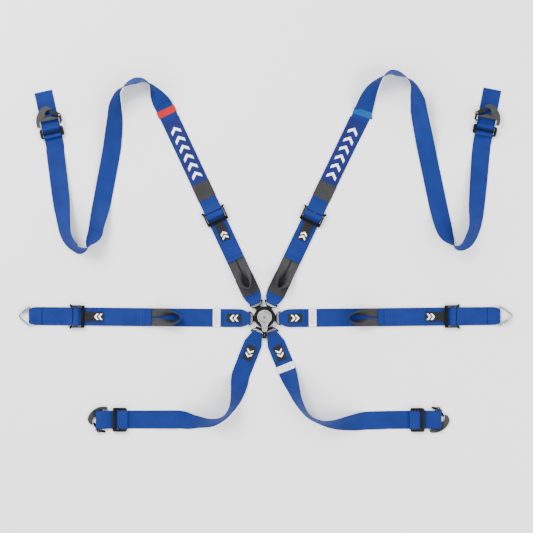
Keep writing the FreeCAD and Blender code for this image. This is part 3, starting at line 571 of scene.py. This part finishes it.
def make_materials():
    blue = dict(dark=(0.0003, 0.006, 0.064), middle=(0.0006, 0.014, 0.125), light=(0.003, 0.036, 0.22),
                sheen=0.06)
    loop = dict(dark=(0.006, 0.006, 0.007), middle=(0.027, 0.0265, 0.0285), light=(0.072, 0.070, 0.075), rib=1.3,
                chevron=5.0, edge_dark=0.0, sheen=0.1)
    return {
        "webbing": woven("webbing_blue", **blue),
        "panel": woven("panel_print", (0.001, 0.003, 0.045), (0.002, 0.007, 0.09), (0.006, 0.018, 0.15), rib=1.2,
                       roughness=0.55, sheen=0.15, edge_dark=0.0),
        "grey": woven("webbing_grey", (0.009, 0.0088, 0.0098), (0.022, 0.0215, 0.0235), (0.058, 0.056, 0.061),
                      rib=1.3, chevron=5.0, edge_dark=0.3),
        # Pull-loop grey, one copy for each side, with painted shade on the lower half of the loop near its tip.
        "loop_left": woven("loop_grey_painted_shade_left", painted_shade_side=-1.0, **loop),
        "loop_right": woven("loop_grey_painted_shade_right", painted_shade_side=1.0, **loop),
        "black_fabric": woven("fabric_black", (0.003, 0.003, 0.0035), (0.008, 0.008, 0.009),
                              (0.025, 0.025, 0.027), sheen=0.05, rib=0.9, chevron=3.0, edge_dark=0.0, depth=0.0002),
        "white_label": woven("label_white", (0.80, 0.80, 0.80), (0.92, 0.92, 0.91), (0.98, 0.98, 0.97), rib=0.6,
                             chevron=2.0, roughness=0.6, sheen=0.1, edge_dark=0.0, depth=0.0001),
        "print_white": woven("print_white", (0.85, 0.85, 0.86), (0.95, 0.95, 0.95), (0.99, 0.99, 0.99),
                             rib=0.8, chevron=3.0, sheen=0.0, edge_dark=0.0, depth=0.0001),
        "print_grey": woven("print_grey", (0.18, 0.18, 0.19), (0.27, 0.27, 0.28), (0.38, 0.38, 0.39), rib=0.6,
                            chevron=2.0, sheen=0.0, edge_dark=0.0, depth=0.0001),
        "red_band": woven("band_red", (0.24, 0.002, 0.003), (0.40, 0.005, 0.007), (0.55, 0.02, 0.022), rib=1.0,
                          chevron=4.0, edge_dark=0.1),
        "teal_band": woven("band_teal", (0.0005, 0.032, 0.13), (0.001, 0.062, 0.22), (0.004, 0.12, 0.34), rib=1.0,
                           chevron=4.0, edge_dark=0.1),
        "thread_blue": thread("thread_blue", (0.002, 0.030, 0.20)),
        "thread_dark": thread("thread_dark", (0.015, 0.015, 0.017)),
        "thread_grey": thread("thread_grey", (0.10, 0.10, 0.105)),
        # hardware
        "black_steel": metal("steel_black_coat", (0.003, 0.003, 0.0035), (0.016, 0.0155, 0.015), 0.46,
                             metallic=0.0, specular=0.10),
        "buckle_black": metal("buckle_black_anodised", (0.004, 0.004, 0.0045), (0.020, 0.020, 0.021), 0.40,
                              metallic=0.0, specular=0.15),
        "hook_steel": metal("hook_gunmetal", (0.012, 0.012, 0.013), (0.036, 0.035, 0.035), 0.38, metallic=0.0,
                            wear=0.8, specular=0.25),
        "gate_steel": metal("gate_dark_steel", (0.003, 0.003, 0.0035), (0.014, 0.014, 0.014), 0.40,
                            metallic=0.0, wear=0.8, specular=0.12),
        "lever_metal": metal("lever_satin_aluminium", (0.46, 0.46, 0.47), (0.78, 0.78, 0.79), 0.34,
                             metallic=0.6, grain=900.0, wear=0.3, brushed=(1.0, 0.12, 1.0)),
        "inner_steel": metal("screw_zinc", (0.50, 0.50, 0.51), (0.75, 0.75, 0.75), 0.34),
        "link_steel": metal("link_bright_zinc", (0.30, 0.30, 0.31), (0.62, 0.62, 0.62), 0.26, wear=0.4,
                            metallic=0.8),
        "ink": metal("engraving_ink", (0.02, 0.02, 0.022), (0.09, 0.09, 0.09), 0.5, metallic=0.0),
    }


def finish_cad_nodes(materials):
    """Give every carried-over hardware piece the finish of its slot."""
    finish = {row["node"]: row["material_slot"] for row in frame["record"]["subparts"]}
    for node, piece in frame["nodes"].items():
        slot = finish[node]
        if slot in materials:
            piece.data.materials.clear()
            piece.data.materials.append(materials[slot])


# ---------------------------------------------------------------- straps

def neck_profile(slot_out, full_at, end_at):
    z_over = TONGUE_Z + TONGUE_THICK + WRAP
    z_under = TONGUE_Z - WRAP
    inner = slot_out - WRAP
    bar_out = slot_out + BAR_DEPTH
    on_bar, past_bar, nearly_flat = GATHER[slot_out]
    return [(end_at, Z_MID, WEB_WIDTH), (full_at + 4.0, Z_MID, WEB_WIDTH),
            (full_at - 5.0, Z_MID + 0.7, nearly_flat),
            (bar_out + 6.0, 0.5 * (Z_MID + z_over), past_bar),
            (bar_out, z_over, on_bar), (inner + 1.0, z_over, NECK_WIDTH + 1.0),
            (inner, z_over - 1.2, NECK_WIDTH), (inner, z_under + 1.2, NECK_WIDTH),
            (inner + 1.0, z_under, NECK_WIDTH + 1.0), (bar_out, z_under, on_bar),
            (bar_out + 7.0, Z_LOW, past_bar), (full_at - 4.0, Z_LOW, nearly_flat),
            (full_at + 4.0, Z_LOW, WEB_WIDTH)]


def tail_profile(lock, tail_end, hem):
    radius = LOCK_R + LAYER_GAP / 2 + WEB_THICK / 2
    out = [(lock - 9.0, Z_LOW, WEB_WIDTH)]
    out += wrap(lock + LOCK_DEPTH, LOCK_Z, radius, -90, 90, steps=14)
    out += wrap(lock, LOCK_Z, radius, 90, 185, steps=8)
    out += [(lock - 6.5, Z_MID + 0.3, WEB_WIDTH), (lock - 10.5, Z_MID, WEB_WIDTH),
            (tail_end + hem + 12.0, Z_MID, WEB_WIDTH), (tail_end + hem + 5.0, Z_TOP, WEB_WIDTH)]
    out += wrap(tail_end + FOLD_R, Z_TOP + FOLD_R, FOLD_R, 270, 90, steps=8)
    out.append((tail_end + hem, Z_TOP + 2 * FOLD_R, WEB_WIDTH))
    return out


def rear_profile(lock, sewn_end):
    s = lock + REAR_BAR
    ring = wrap(s, REAR_Z, REAR_R + WRAP, 90, 270, steps=14)
    return ([(sewn_end, Z_MID, WEB_WIDTH), (s + 16.0, Z_MID, WEB_WIDTH),
             (s + 6.0, REAR_Z + 2.2, WEB_WIDTH)] + ring + [(s + 12.0, Z_LOW, WEB_WIDTH)])


def slider_height(kind):
    layers = Z_TOP + WEB_THICK / 2 if kind == "shoulder" else Z_MID + WEB_THICK / 2
    return layers + LAYER_GAP + 2.1


def hook_bar_height(kind):
    if kind == "shoulder":
        return Z_MID + HOOK_BAR_R + WRAP
    return HOOK_PLATE + HOOK_BAR_DROP + 0.1


def hook_loop_profile(kind, z_bar, z_in):
    bar = SLIDER_TO_HOOK[kind] + HOOK_BAR_U
    pitch = SLIDER_PITCH[kind]
    z_slider = slider_height(kind)
    out = [(-pitch - 26.0, Z_LOW, WEB_WIDTH), (-pitch - 14.0, z_in, WEB_WIDTH),
           (pitch + 6.0, z_in, WEB_WIDTH)]
    if z_bar - HOOK_BAR_R - WRAP > z_in + 0.5:
        out.append((SLIDER_TO_HOOK[kind] - 9.0, z_bar - HOOK_BAR_R - WRAP, WEB_WIDTH))
    out += wrap(bar, z_bar, HOOK_BAR_R + WRAP, -90, 90, steps=12)
    over = z_slider + 1.5 + WRAP
    under = z_in + WEB_THICK + LAYER_GAP
    if kind == "shoulder":
        out += wrap(bar, z_bar, HOOK_BAR_R + WRAP, 100, 130, steps=3)
        out += [(bar - 10.5, under + 0.3, WEB_WIDTH), (pitch + 7.5, under + 0.3, WEB_WIDTH),
                (pitch + 2.2, over, WEB_WIDTH), (pitch - 2.2, over, WEB_WIDTH),
                (pitch - 6.6, under, WEB_WIDTH), (-pitch + 6.6, under, WEB_WIDTH),
                (-pitch + 2.4, over, WEB_WIDTH)]
    else:
        out += [(SLIDER_TO_HOOK[kind] - 4.0, z_bar + 1.5, WEB_WIDTH),
                (pitch + 8.0, under, WEB_WIDTH), (pitch - 6.8, under, WEB_WIDTH),
                (3.8, over, WEB_WIDTH)]
    out += wrap(-pitch, z_slider, 2.35 + WRAP, 90, 262, steps=10)
    out.append((-pitch + 5.0, z_slider - 2.35 - WRAP, WEB_WIDTH))
    return out


def lay_strap(name, stations, body, node, material, seed, ripple=0.12):
    """One length of blue webbing that stands for its CAD node."""
    stations = fill_stations(soften_stations(stations))
    piece = ribbon(name, stations, material, ripple=ripple, seed=seed)
    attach(piece, body)
    if node:
        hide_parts(node)
    return stations


def make_lower_strap(kind, side, axis, materials):
    name = "%s_%s" % (kind, side)
    node = name + ("_lower_strap" if kind == "shoulder" else "_strap")
    profile = neck_profile(SLOT_OUT, 64.0, SEWN_END[kind])
    profile += tail_profile(LOCK_S[kind], TAIL_END[kind], HEM[kind])
    lay_strap(name + "_lower_webbing", profile_stations(axis, profile), name, node, materials["webbing"],
              seed=len(name) + ord(name[-1]))
    if kind == "lap":
        end = SEWN_END[kind] - 4
        box = [(105, -21), (105, 21), (end, 21), (end, -21), (105, -21)]
        stitches(name + "_neck_stitches", [box], Z_MID + WEB_THICK / 2, axis, name,
                 materials["thread_blue"])
    hem = TAIL_END[kind]
    reach = HEM[kind]
    top = Z_TOP + 2 * FOLD_R + WEB_THICK / 2
    rows = [[(hem + 3.0, -23), (hem + 3.0, 23)], [(hem + reach - 2.0, -23), (hem + reach - 2.0, 23)]]
    stitches(name + "_hem_stitches", rows, top, axis, name, materials["thread_blue"])
    if kind == "lap":
        rows = [[(hem + s, -23), (hem + s, 23)] for s in (29.0, 37.0)]
        stitches(name + "_tail_stitches", rows, Z_MID + WEB_THICK / 2, axis, name,
                 materials["thread_blue"])


def stitches(name, rows, z, axis, body, material):
    piece = stitch_rows(name, rows, z, axis.point, material)
    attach(piece, body)
    return piece


def patch(name, s0, s1, half, z, thick, axis, body, material, radius=1.0):
    piece = slab(name, rounded_box(s0, s1, half, radius), z, z + thick, axis.point, material,
                 round_top=min(0.4, thick * 0.5))
    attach(piece, body)
    return piece


def chevron_outline(tip, height, stroke, lean):
    """One generic arrow stroke pointing outwards."""
    half = height / 2
    return [(tip - lean, -half), (tip, 0.0), (tip - lean, half), (tip - lean - stroke, half),
            (tip - stroke, 0.0), (tip - lean - stroke, -half)]


def chevrons(name, tips, height, stroke, lean, z, axis, body, material, thick=0.12):
    """Row of printed chevrons."""
    verts = []
    coords = []
    faces = []
    for tip in tips:
        outline = chevron_outline(tip, height, stroke, lean)
        base = len(verts)
        for level in (z, z + thick):
            for s, v in outline:
                verts.append(axis.point(s, v, level))
                coords.append((v * MM, s * MM, 1))
        faces += [(base, base + 5, base + 4, base + 1), (base + 1, base + 4, base + 3, base + 2),
                  (base + 6, base + 7, base + 10, base + 11), (base + 7, base + 8, base + 9, base + 10)]
        for k in range(6):
            n = (k + 1) % 6
            faces.append((base + k, base + n, base + n + 6, base + k + 6))
    piece = new_object(name, verts, faces, material, smooth=False)
    attribute = piece.data.attributes.new("weave", "FLOAT_VECTOR", "POINT")
    for item, coord in zip(attribute.data, coords):
        item.vector = coord
    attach(piece, body)
    return piece


def black_label(name, s0, s1, half, z, axis, body, materials):
    """Woven black label with two plain chevrons in place of a mark."""
    patch(name, s0, s1, half, z, 0.55, axis, body, materials["black_fabric"], radius=1.2)
    middle = (s0 + s1) / 2
    chevrons(name + "_chevrons", (middle + 1.5, middle + 12.5), 17.5, 5.2, 7.5, z + 0.55, axis, body,
             materials["print_white"])
    inset = 1.3
    frame_row = [(s0 + inset, -half + inset), (s1 - inset, -half + inset), (s1 - inset, half - inset),
                 (s0 + inset, half - inset), (s0 + inset, -half + inset)]
    stitches(name + "_stitches", [frame_row], z + 0.5, axis, body, materials["thread_dark"])


def white_label(name, s0, s1, half, z, axis, body, materials):
    """Satin care label with plain grey rules."""
    patch(name, s0, s1, half, z, 0.3, axis, body, materials["white_label"], radius=0.8)
    rows = []
    count = 5
    for k in range(count):
        s = s0 + (s1 - s0) * (k + 1.0) / (count + 1.0)
        rows.append((s, half * (0.72 if k % 2 else 0.82)))
    for k, (s, reach) in enumerate(rows):
        patch("%s_rule_%d" % (name, k), s - 0.55, s + 0.55, reach, z + 0.3, 0.06, axis, body,
              materials["print_grey"], radius=0.3)


# along a pull loop from its sewn root: share of the way to the tip, height of its lower edge,
# then distance from the strap's middle and roll, for the outer and the inner half
LOOP_TIP_ROLL = 80
LOOP_WIDTH = 22.6
LOOP_SHAPE = {
    "shoulder": [(-0.11, Z_MID, 12.8, 0, 12.8, 0), (0.03, Z_MID, 12.9, 0, 12.9, 0),
                 (0.16, Z_MID, 13.6, 3, 13.6, 3), (0.36, Z_MID, 13.4, 8, 13.2, 10),
                 (0.48, 3.4, 12.4, 14, 12.2, 18), (0.60, 4.7, 13.2, 26, 11.8, 36),
                 (0.79, 4.7, 13.2, 42, 10.2, 58), (0.90, 4.7, 9.6, 60, 7.0, 72),
                 (0.97, 4.7, 4.6, 76, 3.6, 79)],
    "lap": [(-0.13, Z_MID, 12.8, 0, 12.8, 0), (0.03, Z_MID, 12.9, 0, 12.9, 0),
            (0.30, Z_MID, 14.0, 20, 13.8, 24), (0.55, Z_MID, 15.2, 40, 14.6, 48),
            (0.72, Z_MID, 15.0, 58, 13.6, 66), (0.85, Z_MID, 12.0, 72, 10.6, 75),
            (0.95, Z_MID, 6.2, 79, 5.8, 79)],
}
OUTER_HALF = {"left": 1.0, "right": -1.0}


def make_pull_loop(kind, side, axis, materials):
    """Grey webbing folded into a finger loop: flat at its root, on edge at its tip."""
    name = "%s_%s" % (kind, side)
    outer = OUTER_HALF[side]
    reach = TAIL_END[kind] - LOOP_TIP[kind]
    rows = [(share, z, outer * v, roll) for share, z, v, roll, _, _ in LOOP_SHAPE[kind]]
    rows.append((1.0, rows[-1][1], 0.0, LOOP_TIP_ROLL))
    rows += [(share, z, -outer * v, roll) for share, z, _, _, v, roll in LOOP_SHAPE[kind][::-1]]
    stations = []
    for share, z, v, roll in rows:
        turn = math.radians(roll)
        across = Vector((0, 0, math.sin(turn))) * outer
        if v == 0:
            across -= axis.out * (outer * math.cos(turn))
        else:
            across += axis.left * (math.copysign(math.cos(turn), v) * outer)
        centre = axis.point(TAIL_END[kind] - share * reach, v, z + LOOP_WIDTH / 2 * math.sin(turn))
        stations.append((centre, across, LOOP_WIDTH))
    stations = fill_stations(soften_stations(stations, rounds=3, reach=6.0), 2.5)
    # The loop's material carries painted shade on its lower half near the tip.
    piece = ribbon(name + "_pull_loop_webbing", stations, materials["loop_" + side], thickness=1.3, ripple=0.05,
                   seed=len(name))
    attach(piece, name)
    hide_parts(name + "_pull_loop")


def make_tab(kind, side, axis, materials):
    """Padded release tab sewn round the adjuster's crossbar."""
    name = "%s_%s" % (kind, side)
    body = name + "_adjuster"
    far = LOCK_S[kind] + TAB_START
    near = far - TAB_LENGTH + 11.0
    outline = rounded_box(near, far, TAB_WIDTH / 2, 4.0)
    piece = slab(body + "_tab_fabric", outline, 3.4, 5.4, axis.point, materials["black_fabric"],
                 round_top=0.9)
    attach(piece, body)
    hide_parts(name + "_adjuster_tab")
    half = TAB_WIDTH / 2 - 2.4
    rows = [[(near + 3, -half), (far - 2, -half), (far - 2, half), (near + 3, half), (near + 3, -half)],
            [(far - 14, -half), (far - 14, half)]]
    stitches(body + "_tab_stitches", rows, 5.3, axis, body, materials["thread_dark"])
    for k in range(4):
        s = far - 4.5 - 4.0 * k
        patch("%s_tab_rib_%d" % (body, k), s - 0.9, s + 0.9, half - 1.5, 5.3, 0.5, axis, body,
              materials["black_fabric"], radius=0.8)
    chevrons(body + "_tab_chevrons", (near + 15.0, near + 25.5), 17.0, 5.2, 7.0, 5.4, axis, body,
             materials["print_white"])


def make_shoulder(side, materials):
    axis = Axis(*SHOULDER_AXIS[side])
    end = Axis(*SHOULDER_SLIDER[side])
    name = "shoulder_" + side
    make_lower_strap("shoulder", side, axis, materials)
    stations = profile_stations(axis, rear_profile(LOCK_S["shoulder"], 352.0) + [(480.0, Z_LOW, WEB_WIDTH)])
    stations = fill_stations(soften_stations(stations)) + route_stations(SHOULDER_ROUTE[side])
    profile = hook_loop_profile("shoulder", hook_bar_height("shoulder"), Z_MID)
    stations += fill_stations(soften_stations(profile_stations(end, profile, -1.0)))
    stations = lay_strap(name + "_main_webbing", stations, name, name + "_main_strap", materials["webbing"],
                         seed=3)
    tail = [(-SLIDER_PITCH["shoulder"] - 1.0, Z_LOW, WEB_WIDTH), (40.0, Z_LOW, WEB_WIDTH),
            (TAIL_REACH, Z_LOW, WEB_WIDTH)]
    lay_strap(name + "_tail_webbing", profile_stations(end, tail), name, None, materials["webbing"], seed=7)
    top = Z_LOW + WEB_THICK / 2
    stitches(name + "_tail_end_stitches", [[(TAIL_REACH - 5, -22), (TAIL_REACH - 5, 22)],
                                           [(TAIL_REACH - 11, -22), (TAIL_REACH - 11, 22)]], top, end, name,
             materials["thread_blue"])
    over = Z_MID + WEB_THICK / 2
    patch(name + "_lower_patch", 69.0, 121.0, 25.8, over, 0.7, axis, name, materials["grey"])
    # Thin black sheet under the loop's opening near the tip: painted shadow, so the hole between the loop's halves
    # reads dark.
    patch(name + "_loop_painted_shadow", 92.0, 121.0, 8.5, over + 0.7, 0.15, axis, name,
          materials["black_fabric"], radius=6.0)
    # Black sheet under the loop's flat root: it stands for the dark sleeve there, and is made black as painted
    # shadow so the slit between the loop's halves reads dark.
    patch(name + "_loop_sleeve_and_shadow", 119.0, 172.0, 24.4, top, 0.22, axis, name,
          materials["black_fabric"])
    patch(name + "_upper_patch", 359.0, 407.0, 25.6, top, 0.9, axis, name, materials["grey"])
    patch(name + "_print_panel", 407.0, 600.0, 25.2, top, 0.35, axis, name, materials["panel"])
    chevrons(name + "_panel_chevrons", [441 + 27.0 * k for k in range(6)], 27.0, 9.0, 12.0, top + 0.35, axis,
             name, materials["print_white"])
    sides = [[(s, -23.4), (s + 44, -23.4)] for s in (361,)] + [[(361, 23.4), (405, 23.4)]]
    sides += [[(361, -23.4), (361, 23.4)], [(404.5, -23.4), (404.5, 23.4)], [(361, -23.4), (404.5, 23.4)],
              [(361, 23.4), (404.5, -23.4)]]
    stitches(name + "_upper_patch_stitches", sides, top + 0.85, axis, name,
             materials["thread_dark"])
    rows = [[(71, -23.2), (119, -23.2)], [(71, 23.2), (119, 23.2)], [(71.5, -23.2), (71.5, 23.2)]]
    stitches(name + "_lower_patch_stitches", rows, over + 0.65, axis, name,
             materials["thread_dark"])
    rows = [[(409, -23.6), (598, -23.6)], [(409, 23.6), (598, 23.6)]]
    stitches(name + "_panel_stitches", rows, top + 0.3, axis, name, materials["thread_blue"])
    make_band(name, axis, stations, materials["red_band" if side == "left" else "teal_band"])
    make_pull_loop("shoulder", side, axis, materials)
    make_tab("shoulder", side, axis, materials)


def frame_at(stations, axis, s):
    """Centre, along, side and up of a strap where it passes distance s for the last time."""
    best = None
    for (a, across, _), (b, _, _) in zip(stations, stations[1:]):
        low, high = (a - axis.start).dot(axis.out), (b - axis.start).dot(axis.out)
        if abs((a - axis.start).dot(axis.left)) < 40 and low <= s < high:
            centre = a.lerp(b, (s - low) / (high - low))
            along = (b - a).normalized()
            side = (across - along * across.dot(along)).normalized()
            best = (centre, along, side, side.cross(along) * -1)
    return best


def strip_on(name, stations, axis, s0, s1, half, lift, thick, body, material):
    """Flat trim that follows the strap under it."""
    rows = []
    count = max(2, round((s1 - s0) / 3.0))
    for k in range(count + 1):
        centre, _, side, up = frame_at(stations, axis, s0 + (s1 - s0) * k / count)
        rows.append((centre + up * (WEB_THICK / 2 + lift + thick / 2), side, 2 * half))
    piece = ribbon(name, rows, material, thickness=thick, ripple=0.0)
    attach(piece, body)
    return piece


def make_band(name, axis, stations, material):
    """Coloured marker loop sewn round the strap, standing a little past its edges."""
    centre, along, side, up = frame_at(stations, axis, 622.0)
    rows = []
    for v, z in ((-26.6, 0.2), (-26.2, 1.0), (-24.5, 1.5), (0.0, 1.55), (24.5, 1.5), (26.2, 1.0),
                 (26.6, 0.2)):
        place = centre + side * v + up * z
        lowest = 0.5 + 9.5 * abs(along.z)
        rows.append((Vector((place.x, place.y, max(place.z, lowest))), along, 19.0))
    rows = fill_stations(soften_stations(rows, rounds=2), 3.0)
    piece = ribbon(name + "_marker_band", rows, material, thickness=0.9, ripple=0.0)
    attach(piece, name)


def make_lap(side, materials):
    axis = Axis(*LAP_AXIS[side])
    name = "lap_" + side
    make_lower_strap("lap", side, axis, materials)
    radius = LINK_WIRE_R + WRAP
    profile = rear_profile(LOCK_S["lap"], 611.0)
    profile += [(LINK_BAR_S - 20.0, Z_LOW, WEB_WIDTH), (LINK_BAR_S - 10.0, Z_LOW, WEB_WIDTH - 1),
                (LINK_BAR_S - 4.0, LINK_Z - radius, LINK_END_WIDTH + 5)]
    profile += wrap(LINK_BAR_S, LINK_Z, radius, -90, 90, LINK_END_WIDTH, 12)
    profile += [(LINK_BAR_S - 4.0, LINK_Z + radius - 0.3, LINK_END_WIDTH + 5),
                (LINK_BAR_S - 10.0, LINK_Z + radius - 2.2, WEB_WIDTH - 1),
                (LINK_BAR_S - 18.0, Z_MID, WEB_WIDTH), (613.0, Z_MID, WEB_WIDTH)]
    lay_strap(name + "_anchor_webbing", profile_stations(axis, profile), name, name + "_anchor_strap",
              materials["webbing"], seed=5)
    top = Z_MID + WEB_THICK / 2
    rows = [[(s, -22), (s, 22)] for s in (556, 562, 606, 617)]
    rows += [[(562, -22), (606, 22)], [(562, 22), (606, -22)]]
    stitches(name + "_anchor_stitches", rows, top, axis, name, materials["thread_blue"])
    black_label(name + "_label", 62.5, 104.0, 12.5, top, axis, name, materials)
    white_label(name + "_care_label", 122.0, 142.0, 24.0, Z_LOW + WEB_THICK / 2, axis, name, materials)
    make_pull_loop("lap", side, axis, materials)
    make_tab("lap", side, axis, materials)


def make_crotch(side, materials):
    axis = Axis(*CROTCH_AXIS[side])
    end = Axis(*CROTCH_SLIDER[side])
    name = "crotch_" + side
    stations = fill_stations(soften_stations(profile_stations(axis, neck_profile(CROTCH_SLOT_OUT, 75.0, 126.0))))
    stations += route_stations(CROTCH_ROUTE[side])
    profile = hook_loop_profile("crotch", hook_bar_height("crotch"), Z_LOW)
    stations += fill_stations(soften_stations(profile_stations(end, profile)))
    stations = lay_strap(name + "_webbing", stations, "crotch", name + "_strap", materials["webbing"], seed=11)
    top = Z_MID + WEB_THICK / 2
    box = [(80, -20), (123, -20), (123, 20), (80, 20), (80, -20)]
    stitches(name + "_neck_stitches", [box], top, axis, "crotch", materials["thread_blue"])
    black_label(name + "_label", 86.0, 128.0, 13.5, top, axis, "crotch", materials)
    if side == "right":
        strip_on(name + "_care_label", stations, axis, 141.0, 160.0, 24.0, 0.1, 0.3, "crotch",
                 materials["white_label"])
        for k in range(5):
            s = 143.5 + 3.4 * k
            strip_on("%s_care_rule_%d" % (name, k), stations, axis, s, s + 1.1, 17.0 if k % 2 else 20.0, 0.42,
                     0.06, "crotch", materials["print_grey"])


# ---------------------------------------------------------------- buckle details

def make_lever_arrows(material):
    """Two curved arrows filled with dark ink on the lever's head."""
    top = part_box("buckle_lever")[1][2] / MM
    verts = []
    faces = []
    for start in (20, 200):
        inner, outer = 13.9, 15.5
        steps = 10
        base = len(verts)
        for k in range(steps + 1):
            angle = start + 62 * k / steps
            for radius in (inner, outer):
                verts.append(unit(angle) * radius + Vector((0, 0, top + 0.03)))
        for k in range(steps):
            a = base + 2 * k
            faces.append((a, a + 1, a + 3, a + 2))
        base = len(verts)
        head = start + 62
        verts.append(unit(head) * (inner - 1.5) + Vector((0, 0, top + 0.03)))
        verts.append(unit(head) * (outer + 1.5) + Vector((0, 0, top + 0.03)))
        verts.append(unit(head + 16) * ((inner + outer) / 2) + Vector((0, 0, top + 0.03)))
        faces.append((base, base + 1, base + 2))
    piece = new_object("lever_turn_arrows", verts, faces, material, smooth=False)
    thicken = piece.modifiers.new("thickness", "SOLIDIFY")
    thicken.thickness = 0.00004
    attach(piece, "lever")


# ---------------------------------------------------------------- everything

make_camera()
make_studio()
MATERIALS = make_materials()
finish_cad_nodes(MATERIALS)
for side in SIDES:
    make_shoulder(side, MATERIALS)
    make_lap(side, MATERIALS)
    make_crotch(side, MATERIALS)
make_lever_arrows(MATERIALS["ink"])
